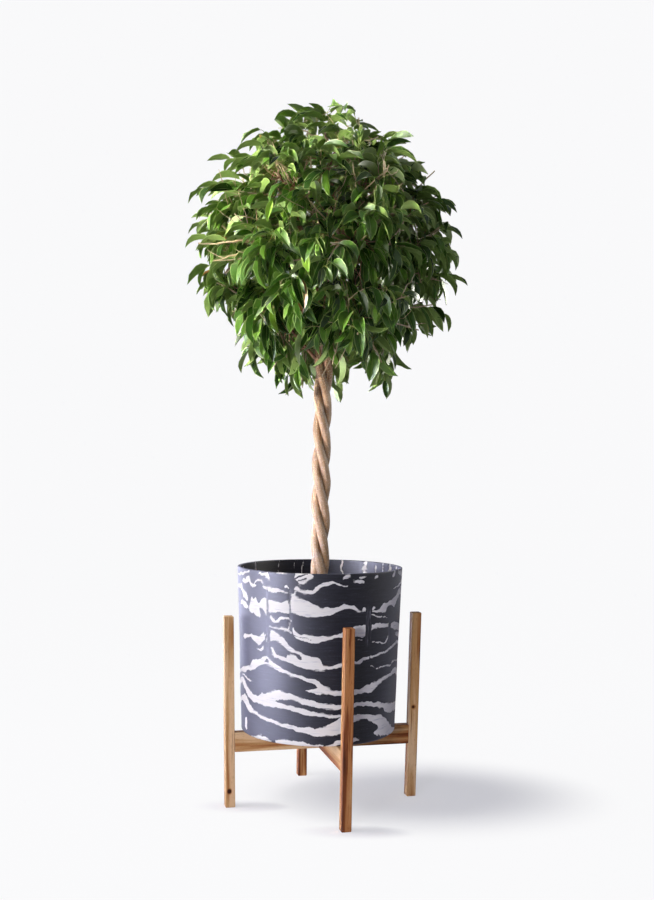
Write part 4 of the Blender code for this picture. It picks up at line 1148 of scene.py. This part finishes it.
def around_and_along(tree, round_scale, along_scale):
    """Seamless coordinates on a tube, its turn as a circle, and its length alone from 0 to 1."""
    u, v, _ = add(tree, "SeparateXYZ", add(tree, "UVMap", uv_map="OFBake"), out=None)
    turn = add(tree, "Math.MULTIPLY", u, 2 * math.pi)
    x, y = (add(tree, "Math.MULTIPLY", add(tree, f"Math.{wave}", turn), round_scale)
            for wave in ("COSINE", "SINE"))
    return add(tree, "CombineXYZ", x, y, add(tree, "Math.MULTIPLY", v, along_scale)), v


def fig_bark(colours):
    """Smooth living fig bark on the twisted stems.

    It gives the eye a matt pinkish tan skin with soft fissures along each stem, many pale corky dots, a few
    grey patches and dark scars, and painted shade, dark brown, deep between the strands.
    """
    material, tree, shader = new_material("fig_bark_smooth")
    # A stem is 52 mm round and 0.9 m long: fissures 3 mm apart and 40 mm long.
    place, _ = around_and_along(tree, 2.8, 24.0)
    fissure = add(tree, "TexNoise", {"Vector": place, "Scale": 1.0, "Detail": 4.0, "Roughness": 0.6,
                                     "Distortion": 0.4})
    objects = add(tree, "TexCoord", out=3)
    patch = add(tree, "TexNoise", {"Vector": objects, "Scale": 42.0, "Detail": 3.0, "Roughness": 0.55})
    tone = add(tree, "Math.MULTIPLY_ADD", fissure, 0.55, add(tree, "Math.MULTIPLY", patch, 0.45))
    base = add(tree, "ValToRGB", tone, stops=(
        (0.36, colours["bark_dark"]), (0.45, colours["bark"]), (0.54, colours["bark"]),
        (0.64, colours["bark_pale"])))
    lichen = add(tree, "TexNoise", {"Vector": objects, "Scale": 17.0, "Detail": 2.0})
    lichen = add(tree, "MapRange", lichen, 0.60, 0.68, 0.0, 0.5)
    # Corky dots of about 1.2 mm by 0.8 mm, one to every 9 square millimetres.
    dots_at, _ = around_and_along(tree, 4.6, 300.0)
    from_middle, cell_colour, *_ = add(
        tree, "TexVoronoi", {"Vector": dots_at, "Scale": 1.0, "Randomness": 1.0}, feature="F1", out=None)
    dot = add(tree, "MapRange", from_middle, 0.36, 0.20, 0.0, 1.0, **SMOOTH)
    kind = add(tree, "SeparateColor", cell_colour)
    corky = add(tree, "Math.MULTIPLY", dot, add(tree, "MapRange", kind, 0.15, 0.5, 0.0, 0.95))
    scar = add(tree, "Math.MULTIPLY", add(tree, "Math.MULTIPLY", dot,
                                          add(tree, "Math.LESS_THAN", kind, 0.05)), 0.8)
    # Painted shade: dark brown deep between the strands, where they touch.
    painted_gap_shade = add(tree, "Attribute", attribute_name="painted_gap_shade", out="Fac")
    for share, colour in ((lichen, "#b5a4a0"), (corky, colours["bark_dot"]), (scar, "#5d3a26"),
                          (painted_gap_shade, "#3a2212")):
        base = add(tree, "Mix", {0: share, 6: base, 7: colour}, **COLOUR)
    height = add(tree, "Math.MULTIPLY_ADD", fissure, 1.0, add(tree, "Math.MULTIPLY", patch, 0.6))
    height = add(tree, "Math.MULTIPLY_ADD", dot, 0.5, height)
    fill(tree, shader, {
        "Base Color": base, "Roughness": 0.70, "IOR": 1.45,
        "Normal": add(tree, "Bump", {"Height": height, "Strength": 0.8, "Distance": 0.0022})})
    return material


def fig_twig(colours):
    """Young fig wood, from brown branches to green shoots.

    It gives the eye pale tan twigs that turn green at their tips, mottled lighter and darker.
    """
    material, tree, shader = new_material("fig_twig_bark")
    place, along = around_and_along(tree, 1.4, 120.0)
    rough = add(tree, "TexNoise", {"Vector": place, "Scale": 1.0, "Detail": 3.0, "Roughness": 0.6})
    age = add(tree, "Math.MULTIPLY_ADD", rough, 0.22, add(tree, "Math.ADD", along, -0.11))
    base = add(tree, "ValToRGB", age, stops=(
        (0.05, colours["branch"]), (0.26, colours["branch"]), (0.42, colours["twig"]),
        (0.72, colours["twig"]), (0.88, "#9aa860"), (0.99, colours["stalk"])))
    shade = add(tree, "MapRange", rough, 0.3, 0.7, 0.72, 1.2)
    base = add(tree, "Mix.MULTIPLY", {0: 1.0, 6: base, 7: add(tree, "CombineXYZ", shade, shade, shade)},
               **COLOUR)
    fill(tree, shader, {
        "Base Color": base, "Roughness": 0.66,
        "Normal": add(tree, "Bump", {"Height": rough, "Strength": 0.6, "Distance": 0.0008})})
    return material


def potting_soil(colours):
    """Peat and bark potting mix, damp and loose.

    It gives the eye dark brown crumbs with lighter flecks of bark and a few pale grains of perlite, without
    gloss.
    """
    material, tree, shader = new_material("peat_potting_mix")
    objects = add(tree, "TexCoord", out=3)
    crumb = add(tree, "TexNoise", {"Vector": objects, "Scale": 260.0, "Detail": 6.0, "Roughness": 0.7})
    # Grains 4 mm across.
    from_middle, grain_colour, *_ = add(tree, "TexVoronoi", {"Vector": objects, "Scale": 250.0},
                                        feature="F1", out=None)
    base = add(tree, "ValToRGB", crumb, stops=((0.30, "#1d130c"), (0.50, colours["soil"]), (0.74, "#6d4e33")))
    kind = add(tree, "SeparateColor", grain_colour)
    for test, limit, strength, colour in (("GREATER_THAN", 0.95, 0.8, "#cfc7b8"),
                                          ("LESS_THAN", 0.12, 0.7, "#8a6540")):
        share = add(tree, "Math.MULTIPLY", add(tree, f"Math.{test}", kind, limit), strength)
        base = add(tree, "Mix", {0: share, 6: base, 7: colour}, **COLOUR)
    height = add(tree, "Math.SUBTRACT", crumb, from_middle)
    fill(tree, shader, {
        "Base Color": base, "Roughness": 0.92,
        "Normal": add(tree, "Bump", {"Height": height, "Strength": 0.9, "Distance": 0.003})})
    return material


def marbled_rubber(colours):
    """Two colours of soft plastic rubber, folded together and moulded, with a dusty satin skin.

    It gives the eye charcoal with torn white ribbons that run level round the wall, sag, fork and break at
    the folds, smaller curls under the rim, and a soft lavender bloom where light grazes it.
    """
    material, tree, shader = new_material("marbled_rubber_moulded")
    centred = add(tree, "Mapping", add(tree, "TexCoord", out=3), -PLANT_AT)
    depth = add(tree, "Attribute", attribute_name="white_depth", out="Fac")
    fold = add(tree, "Attribute", attribute_name="fold", out="Fac")

    def noise(scale, detail, rough=0.5, distort=0.0):
        """Noise of a scale that is one number, or three where it is stretched."""
        if isinstance(scale, tuple):
            stretched = add(tree, "Mapping", {0: centred, 3: scale})
            inputs = {"Vector": stretched, "Scale": 1.0}
        else:
            inputs = {"Vector": centred, "Scale": scale}
        return add(tree, "TexNoise", inputs | {"Detail": detail, "Roughness": rough, "Distortion": distort})

    # Torn edges: teeth of 3 to 8 mm that reach 0.7 mm, and a grain of half a millimetre drawn at 1.2 mm.
    depth = add(tree, "Math.ADD", depth, add(tree, "Math.MULTIPLY_ADD", noise(190.0, 2.0, 0.55), 2.4, -1.2))
    # In places the white thins out over several millimetres, in strokes drawn along the flow, as a smear of
    # ink does.
    strokes = noise((60.0, 60.0, 520.0), 3.0, 0.6, 0.8)
    loose = add(tree, "MapRange", noise(34.0, 1.0), 0.50, 0.64, 0.0, 1.0, **SMOOTH)
    thinned = add(tree, "Math.MULTIPLY", loose, add(tree, "Math.MULTIPLY_ADD", strokes, 9.0, -4.9))
    depth = add(tree, "Math.ADD", depth, thinned)
    spread = add(tree, "Math.MULTIPLY_ADD", loose, 1.5, 0.35)
    white = add(tree, "MapRange", depth, add(tree, "Math.MULTIPLY", spread, -1.0), spread, 0.0, 1.0, **SMOOTH)
    # Thin grey veins drawn out along the ribbons, 2 mm by 30 mm.
    vein = noise((30.0, 30.0, 420.0), 3.0, 0.55, 0.5)
    dust = noise(420.0, 4.0, 0.6)
    mottle = add(tree, "Math.MULTIPLY_ADD", vein, 0.6, add(tree, "Math.MULTIPLY", dust, 0.4))
    dark = add(tree, "ValToRGB", mottle, stops=(
        (0.38, colours["charcoal_deep"]), (0.56, colours["charcoal"]), (0.74, "#36363f")))
    pale = add(tree, "ValToRGB", vein, stops=((0.28, "#a9a8b0"), (0.36, "#d0cecf"),
                                              (0.44, colours["streak"])))
    # In a fold the two colours are smeared together into a dull grey, darkest along its middle.
    smeared = add(tree, "ValToRGB", noise((700.0, 700.0, 30.0), 2.0), stops=(
        (0.40, colours["charcoal_deep"]), (0.60, "#4a4a54"), (0.70, "#8d8d98")))
    base = add(tree, "Mix", {0: white, 6: dark, 7: pale}, **COLOUR)
    base = add(tree, "Mix", {0: add(tree, "Math.MULTIPLY", fold, 0.88), 6: base, 7: smeared}, **COLOUR)
    gloss, bloom = (add(tree, "MapRange", white, 0.0, 1.0, *ends) for ends in ((0.165, 0.06), (0.20, 0.03)))
    height = add(tree, "Math.MULTIPLY_ADD", white, 0.25, dust)
    fill(tree, shader, {
        "Base Color": base, "Roughness": add(tree, "MapRange", dust, 0.3, 0.7, 0.46, 0.54), "IOR": 1.52,
        "Specular IOR Level": gloss, "Sheen Weight": bloom, "Sheen Roughness": 0.45, "Sheen Tint": "#b9bdf0",
        "Normal": add(tree, "Bump", {"Height": height, "Strength": 0.30, "Distance": 0.0005})})
    return material


def oiled_acacia(name, axis, offset, tones, dark_spots=()):
    """Sawn and oiled acacia, grain along one axis.

    It gives the eye warm orange brown whose broad dark and golden figure runs along the board and drifts
    across it, a few fine dark lines and pores, dark spots where the wood is knotted, a broad darker part
    where one is given, and the low gloss of oil on the eased edges. tones are its dark, middle, golden and
    sapwood colours. Each of dark_spots is a middle, a radius and a depth.
    """
    material, tree, shader = new_material(name)
    objects = add(tree, "TexCoord", out=3)

    def grain(across, along, shift, **more):
        """Noise in features of a width and a length in metres."""
        scale = [1 / across] * 3
        scale[axis] = 1 / along
        stretched = add(tree, "Mapping", {0: objects, 1: [offset + shift + k for k in range(3)], 3: scale})
        return add(tree, "TexNoise", {"Vector": stretched, "Scale": 1.0} | more)

    figure = grain(0.017, 0.210, 0, Detail=1.5, Roughness=0.45, Distortion=0.5)
    lines = grain(0.0026, 0.120, 7, Detail=2.0, Roughness=0.5, Distortion=0.3)
    pores = grain(0.0007, 0.0080, 3, Detail=1.0)
    tone = add(tree, "Math.MULTIPLY_ADD", figure, 1.7, -0.47)
    tone = add(tree, "Math.MULTIPLY_ADD", lines, 0.30, tone)
    for kx, ky, kz, radius, deep in dark_spots:
        away = add(tree, "VectorMath.DISTANCE", objects, (kx, ky, kz), out=1)
        dark_spot = add(tree, "MapRange", away, radius * 3.0, radius * 0.6, 0.0, deep, **SMOOTH)
        tone = add(tree, "Math.SUBTRACT", tone, dark_spot)
    places = (0.10, 0.34, 0.46, 0.58, 0.74)
    base = add(tree, "ValToRGB", tone, stops=tuple(zip(places, ("#2e190f", *tones))))
    pore = add(tree, "MapRange", pores, 0.38, 0.28, 0.0, 0.45)
    line = add(tree, "MapRange", lines, 0.36, 0.27, 0.0, 0.7, **SMOOTH)
    drawn = add(tree, "Math.MAXIMUM", pore, line)
    base = add(tree, "Mix.MULTIPLY", {0: drawn, 6: base, 7: "#8a4a2c"}, **COLOUR)
    height = add(tree, "Math.MULTIPLY_ADD", pore, -0.6, lines)
    fill(tree, shader, {
        "Base Color": base, "Roughness": add(tree, "MapRange", lines, 0.3, 0.7, 0.44, 0.58),
        "Specular IOR Level": 0.05,
        "Normal": add(tree, "Bump", {"Height": height, "Strength": 0.30, "Distance": 0.0005})})
    return material


def turned_beech(colours):
    """Turned beech dowel, unfinished. It gives the eye a pale pinkish wood with short fine flecks."""
    material, tree, shader = new_material("turned_beech_dowel")
    fleck = add(tree, "TexNoise", {"Vector": add(tree, "TexCoord", out=3), "Scale": 700.0, "Detail": 3.0})
    base = add(tree, "ValToRGB", fleck, stops=((0.35, "#b58a5e"), (0.6, colours["dowel"])))
    fill(tree, shader, {"Base Color": base, "Roughness": 0.62})
    return material


SHADOW_OVALS = ((0.19, 0.05, 0.38, 0.27, 0.0), (-0.135, -0.040, 0.11, 0.045, 0.15),
                (0.065, -0.172, 0.12, 0.045, 0.15))
GLOW_LEAST, GLOW_MOST = 0.475, 0.98  # share of the floor's own brightness in the deepest shadow and beyond it


def studio_paint(colours):
    """Rolled matt studio paint on a floor that curves up into a wall all round.

    It gives the eye a plain pale ground that keeps the soft shadows. Behind the plant, where the wall is
    brightest, rays that look at it or reflect it see most of its own colour, and it dims towards the open
    front of the studio.
    """
    material, tree, shader = new_material("studio_paint_matt")
    fill(tree, shader, {"Base Color": colours["floor"], "Roughness": 0.9, "Specular IOR Level": 0.1})
    rays = add(tree, "LightPath", out=None)
    seen = add(tree, "Math.MAXIMUM", rays["Is Glossy Ray"], rays["Is Transmission Ray"])
    seen = add(tree, "Math.MAXIMUM", rays["Is Camera Ray"], seen)
    x, y, z = add(tree, "SeparateXYZ", add(tree, "TexCoord", out=3), out=None)
    sideways, behind = (add(tree, "Math.MULTIPLY_ADD", x, axis[0], add(tree, "Math.MULTIPLY", y, axis[1]))
                        for axis in (RIGHT, AWAY))
    beyond = add(tree, "Math.SUBTRACT", add(tree, "Math.ABSOLUTE", sideways), 1.05)
    beyond = add(tree, "Math.MULTIPLY_ADD", behind, -0.44, beyond)
    bright = add(tree, "MapRange", beyond, 0.0, 1.4, 1.0, 0.40, **SMOOTH)
    glow = add(tree, "Emission", colours["backdrop"], bright)
    # The shadow lies in an oval of 0.76 by 0.54 m beside the stand and small ones at two feet of it, and
    # the paint beyond them is seen evenly bright. Each is given by its middle, to the right and behind, its
    # half sizes, and the share of brightness that its middle keeps.
    share = 1.0
    for right, back, length, width, least in SHADOW_OVALS:
        oval = add(tree, "CombineXYZ", add(tree, "Math.MULTIPLY_ADD", sideways, 1 / length, -right / length),
                   add(tree, "Math.MULTIPLY_ADD", behind, 1 / width, -back / width))
        far = add(tree, "VectorMath.LENGTH", oval, out=1)
        share = add(tree, "Math.MINIMUM", add(tree, "MapRange", far, 0.30, 1.05, least, 1.0, **SMOOTH), share)
    share = add(tree, "Math.MAXIMUM", add(tree, "MapRange", z, 0.0, 0.8, 0.0, 1.0), share)
    share = add(tree, "Math.MULTIPLY_ADD", share, GLOW_MOST - GLOW_LEAST, GLOW_LEAST)
    whole = add(tree, "MixShader", add(tree, "Math.MULTIPLY", seen, share), shader.outputs[0], glow)
    fill(tree, tree.nodes["Material Output"], {"Surface": whole})
    return material


def make_stand(colours):
    """The legs and bars keep their CAD shapes and are finished as boards, each sawn from another place."""
    dark, middle, gold, sap = (colours[k] for k in ("wood_dark", "wood", "wood_gold", "wood_sap"))
    boards = (
        ("leg_front", 2, 1.7, (dark, middle, middle, gold), ()),
        ("leg_right", 2, 5.1, (middle, gold, gold, sap), ((0.1775, -0.009, 0.171, 0.0022, 0.5),)),
        ("leg_left", 2, 9.4, (middle, gold, sap, sap), ((-0.176, -0.009, 0.030, 0.0024, 0.5),)),
        ("leg_back", 2, 14.2, (dark, middle, gold, sap), ()),
        # The bar is darker broadly within 0.12 m of a point near its right end; this is not a knot.
        ("bar_left_right", 0, 3.3, (dark, middle, gold, sap), ((0.150, -0.010, 0.125, 0.040, 0.16),)),
        ("bar_front_back", 1, 7.9, (dark, middle, gold, sap), ()),
    )
    for node, axis, offset, tones, dark_spots in boards:
        dress(oiled_acacia(f"acacia_oiled_{node}", axis, offset, tones, dark_spots), node)
    beech = turned_beech(colours)
    dress(beech, *[f"dowel_{side}_{level}" for side in ("front", "back", "left", "right")
                   for level in ("upper", "lower")])


# ------------ the studio
def make_stage(sizes, colours):
    """The pale floor and wall, the lamps, the dim room light and the camera."""
    arc = np.linspace(0, math.pi / 2, 10)
    profile = [(0.0, 0.0), (0.6, 0.0), (1.6, 0.0), (3.2, 0.0)]
    profile += [(4.0 + 1.2 * math.sin(a), 1.2 - 1.2 * math.cos(a)) for a in arc] + [(5.2, 3.0), (5.2, 5.5)]
    profile = np.array(profile)
    sides = 96
    turn = np.arange(sides) * 2 * math.pi / sides
    grid = np.stack((profile[1:, :1] * np.cos(turn), profile[1:, :1] * np.sin(turn),
                     profile[1:, 1:] + 0 * turn), -1)
    # The faces are turned round, so that they look up and inwards, and there is no second pole.
    quads, tris = (np.roll(faces[:, ::-1], 1, axis=1) for faces in ring_faces(len(profile) - 1, sides))
    mesh = bpy.data.meshes.new("studio_floor")
    vertices = np.concatenate((grid.reshape(-1, 3), [(0, 0, 0)]))
    mesh.from_pydata(vertices.tolist(), [], quads.tolist() + tris[:sides].tolist())
    mesh.shade_smooth()
    floor = bpy.data.objects.new("studio_floor", mesh)
    bpy.context.scene.collection.objects.link(floor)
    dress(studio_paint(colours), floor)

    def lamp(name, place, aim, width, height, power, colour, spread=180):
        """A soft lamp that faces a height above the stand's middle and is never seen itself."""
        data = bpy.data.lights.new(name, "AREA")
        data.shape, data.size, data.size_y = "RECTANGLE", width, height
        data.energy, data.color, data.spread = power, linear(colour), math.radians(spread)
        made = bpy.data.objects.new(name, data)
        bpy.context.scene.collection.objects.link(made)
        made.visible_camera = False
        away = Vector((0, 0, aim)) - Vector(place)
        made.matrix_world = Matrix.Translation(place) @ away.to_track_quat("-Z", "Y").to_matrix().to_4x4()
        return made

    # Lamp places are given from the stand's middle: to the camera's right, away from it, and up.
    put = lambda right, away, up: tuple(right * RIGHT + away * AWAY + up * UP)
    lamp("key_lamp", put(-1.02, -0.18, 2.19), 0.75, 0.65, 0.65, sizes.key_power, "#fff7ec")
    lamp("side_lamp", put(-2.10, -0.55, 0.95), 0.75, 2.2, 1.5, sizes.side_power, "#f4f4ff")
    lamp("fill_lamp", put(-0.92, -2.30, 0.62), 0.20, 0.9, 0.5, sizes.fill_power, "#f6f6ff",
         32).visible_glossy = False
    lamp("crown_lamp", put(-2.00, -0.80, 1.10), 1.04, 0.7, 0.7, sizes.crown_power, "#fffaf0", 25)
    lamp("top_lamp", put(0.0, 0.3, 3.4), 0.75, 3.0, 3.0, sizes.top_power, "#f4f4ff")
    # White cards which show only as a sheen: two by the planter, and one on each side of the crown.
    for name, place, aim, width, height, share, tint, spread in (
            ("low_card", put(-1.08, -0.36, 0.42), 0.14, 2.0, 0.80, 1.25, "#e2e4fd", 64),
            ("back_card", put(-0.86, 0.85, 0.40), 0.20, 1.3, 0.80, 0.10, "#e2e4fd", 64),
            ("left_card", put(-1.6, -0.8, 1.65), 1.05, 1.6, 1.2, 0.95, "#fbf8ee", 180),
            ("right_card", put(1.9, 0.35, 1.30), 1.08, 0.9, 0.8, 0.17, "#fbf8ee", 42)):
        card = lamp(name, place, aim, width, height, sizes.card_power * share, tint, spread)
        card.visible_diffuse = card.visible_transmission = False

    world = bpy.data.worlds.new("studio_room")
    world.use_nodes = True
    fill(world.node_tree, world.node_tree.nodes["Background"],
         {"Color": "#dde4ff", "Strength": sizes.room_light})
    bpy.context.scene.world = world

    view = bpy.context.scene.view_settings
    view.view_transform = "Standard"
    data = bpy.data.cameras.new("camera")
    data.sensor_width, data.lens, data.clip_start, data.clip_end = 36.0, 43.32, 0.05, 60.0
    camera = bpy.data.objects.new("camera", data)
    bpy.context.scene.collection.objects.link(camera)
    turned, tilt, roll = math.radians(13.83), math.radians(0.92), math.radians(0.73)
    look = Vector((math.sin(turned) * math.cos(tilt), math.cos(turned) * math.cos(tilt), math.sin(tilt)))
    pose = look.to_track_quat("-Z", "Y").to_matrix().to_4x4() @ Matrix.Rotation(roll, 4, "Z")
    camera.matrix_world = Matrix.Translation((-0.4899, -1.9975, 0.6293)) @ pose
    bpy.context.scene.camera = camera


# ------------ sizes and colours a user would change
def length_property(name, metres, description):
    """A length setting."""
    return FloatProperty(name=name, description=description, default=metres, unit="LENGTH")


def power_property(name, watts, description):
    """A setting for a lamp's power."""
    return FloatProperty(name=name, description=description, default=watts, subtype="POWER")


def colour_property(name, hex_text, description):
    """A colour setting whose default is an sRGB hex colour."""
    return FloatVectorProperty(name=name, description=description, subtype="COLOR", size=3, min=0, max=1,
                               default=linear(hex_text))


class FigSizes(bpy.types.PropertyGroup):
    """Sizes and counts of the fig."""

    leaf_length: length_property("Leaf length", 0.054, "Length of a usual blade")
    leaf_width: length_property("Leaf width", 0.0258, "Width of a usual blade")
    leaf_thickness: length_property("Leaf thickness", 0.0006, "Thickness at the midrib")
    petiole_length: length_property("Stalk length", 0.010, "Length of a leaf's stalk")
    twig_count: IntProperty(name="Twigs", description="Number of leafy twigs in the crown", default=385,
                            min=40)
    leaves_per_twig: IntProperty(name="Leaves per twig", description="Leaves along each twig", default=7,
                                 min=2)
    branch_radius: length_property("Branch radius", 0.0038, "Radius of a branch at its stem")
    twig_radius: length_property("Twig radius", 0.0013, "Radius of a twig at its start")
    stem_radius: length_property("Stem radius", 0.0083, "Radius of each twisted stem")
    key_power: power_property("Key lamp", 27.0, "Power of the lamp high at the left")
    side_power: power_property("Side lamp", 3.7, "Power of the wide low lamp at the left")
    fill_power: power_property("Fill lamp", 1.55, "Power of the narrow lamp on the planter")
    crown_power: power_property("Crown lamp", 4.2, "Power of the narrow lamp on the crown")
    top_power: power_property("Top lamp", 7.5, "Power of the wide lamp overhead")
    card_power: power_property("White cards", 72.0, "Power of the lower card's sheen")
    room_light: FloatProperty(name="Room light", description="Strength of the dim light from the room",
                              default=0.125, min=0.0)


class FigColours(bpy.types.PropertyGroup):
    """Colours of the fig's finishes."""

    dark: colour_property("Leaf, darkest", "#1f3d0d", "Oldest leaves")
    deep: colour_property("Leaf, deep", "#345a16", "Ripe leaves")
    leaf: colour_property("Leaf", "#54822a", "Usual leaves")
    fresh: colour_property("Leaf, fresh", "#719c33", "Last season's leaves")
    young: colour_property("Leaf, young", "#95bf3e", "New leaves at the tips")
    under: colour_property("Leaf underside", "#86a350", "Pale underside")
    rib: colour_property("Midrib", "#b9d27e", "Midrib and margin")
    stalk: colour_property("Leaf stalk", "#9dab55", "Leaf stalks and shoots")
    twig: colour_property("Twig", "#cfb890", "Young wood")
    branch: colour_property("Branch", "#94694b", "Older wood inside the crown")
    bark: colour_property("Bark", "#bd9469", "Stem bark")
    bark_dark: colour_property("Bark, fissures", "#875d38", "Fissures in the bark")
    bark_pale: colour_property("Bark, worn", "#d6b38a", "Raised bark")
    bark_dot: colour_property("Bark dots", "#f0dcc0", "Corky dots")
    soil: colour_property("Soil", "#3d2a1d", "Damp peat")
    charcoal: colour_property("Planter, dark", "#1f1f27", "Dark rubber")
    charcoal_deep: colour_property("Planter, darkest", "#16161b", "Dark rubber in its hollows")
    streak: colour_property("Planter, white", "#e1deda", "White streaks")
    wood_dark: colour_property("Wood, dark", "#7c4526", "Dark figure of the stand")
    wood: colour_property("Wood", "#a66f42", "Usual colour of the stand")
    wood_gold: colour_property("Wood, golden", "#bd9260", "Golden figure of the stand")
    wood_sap: colour_property("Wood, sapwood", "#d4b187", "Light sapwood")
    dowel: colour_property("Dowel", "#d0ab7c", "Beech dowels")
    floor: colour_property("Floor", "#eeeefb", "Studio floor")
    backdrop: colour_property("Backdrop", "#fbfbfc", "Studio wall")


def the_plan(sizes):
    """The crown's plan for the sizes as they are now."""
    return crown_plan(sizes.twig_count, sizes.leaves_per_twig, round(sizes.leaf_length, 6),
                      round(sizes.leaf_width, 6), round(sizes.petiole_length, 6))


def settings():
    """The scene's sizes, and its colours as a dictionary of linear red, green, blue and alpha."""
    scene = bpy.context.scene
    return scene.fig_sizes, {name: (*getattr(scene.fig_colours, name), 1.0)
                             for name in FigColours.__annotations__}


# ------------ operators and panel
UNDOABLE = {"REGISTER", "UNDO"}


class FIG_OT_stage(bpy.types.Operator):
    """Make the pale studio floor, the lamps and the camera"""

    bl_idname = "fig.stage"
    bl_label = "Studio"
    bl_options = UNDOABLE

    def execute(self, context):
        make_stage(*settings())
        return {"FINISHED"}


class FIG_OT_stand(bpy.types.Operator):
    """Finish the four legs, the two crossed bars and their dowels in oiled acacia and beech"""

    bl_idname = "fig.stand"
    bl_label = "Wooden stand"
    bl_options = UNDOABLE

    def execute(self, context):
        _, colours = settings()
        make_stand(colours)
        return {"FINISHED"}


class FIG_OT_planter(bpy.types.Operator):
    """Make the marbled planter"""

    bl_idname = "fig.planter"
    bl_label = "Marbled planter"
    bl_options = UNDOABLE

    def execute(self, context):
        _, colours = settings()
        dress(marbled_rubber(colours), *make_planter())
        return {"FINISHED"}


class FIG_OT_soil(bpy.types.Operator):
    """Make the potting soil"""

    bl_idname = "fig.soil"
    bl_label = "Soil"
    bl_options = UNDOABLE

    def execute(self, context):
        _, colours = settings()
        dress(potting_soil(colours), *make_soil())
        return {"FINISHED"}


class FIG_OT_stems(bpy.types.Operator):
    """Make the three twisted stems"""

    bl_idname = "fig.stems"
    bl_label = "Twisted stems"
    bl_options = UNDOABLE

    def execute(self, context):
        sizes, colours = settings()
        dress(fig_bark(colours), *make_stems(sizes))
        return {"FINISHED"}


class FIG_OT_branches(bpy.types.Operator):
    """Make the branches, branchlets and twigs of the crown"""

    bl_idname = "fig.branches"
    bl_label = "Branches and twigs"
    bl_options = UNDOABLE

    def execute(self, context):
        sizes, colours = settings()
        dress(fig_twig(colours), *make_branches(sizes))
        return {"FINISHED"}


class FIG_OT_leaves(bpy.types.Operator):
    """Make the leaves of the crown"""

    bl_idname = "fig.leaves"
    bl_label = "Leaves"
    bl_options = UNDOABLE

    def execute(self, context):
        sizes, colours = settings()
        dress(fig_leaf(colours), *make_leaves(sizes))
        return {"FINISHED"}


OPERATORS = (FIG_OT_stage, FIG_OT_stand, FIG_OT_planter, FIG_OT_soil, FIG_OT_stems, FIG_OT_branches,
             FIG_OT_leaves)


class FIG_PT_sidebar(bpy.types.Panel):
    """The weeping fig's pieces, sizes and colours"""

    bl_idname = "FIG_PT_sidebar"
    bl_label = "Weeping fig"
    bl_space_type = "VIEW_3D"
    bl_region_type = "UI"
    bl_category = "Weeping fig"

    def draw(self, context):
        column = self.layout.column(align=True)
        for operator in OPERATORS:
            column.operator(operator.bl_idname)
        for group, title in ((context.scene.fig_sizes, "Sizes"), (context.scene.fig_colours, "Colours")):
            box = self.layout.box()
            box.label(text=title)
            for name in type(group).__annotations__:
                box.prop(group, name)


CLASSES = (FigSizes, FigColours, *OPERATORS, FIG_PT_sidebar)


def register():
    for cls in CLASSES:
        bpy.utils.register_class(cls)
    bpy.types.Scene.fig_sizes = PointerProperty(type=FigSizes)
    bpy.types.Scene.fig_colours = PointerProperty(type=FigColours)


def unregister():
    del bpy.types.Scene.fig_colours
    del bpy.types.Scene.fig_sizes
    for cls in reversed(CLASSES):
        bpy.utils.unregister_class(cls)


def main():
    """Registers the add-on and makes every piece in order."""
    register()
    for operator in OPERATORS:
        getattr(bpy.ops.fig, operator.bl_idname.split(".")[1])()


if __name__ == "__main__":
    main()
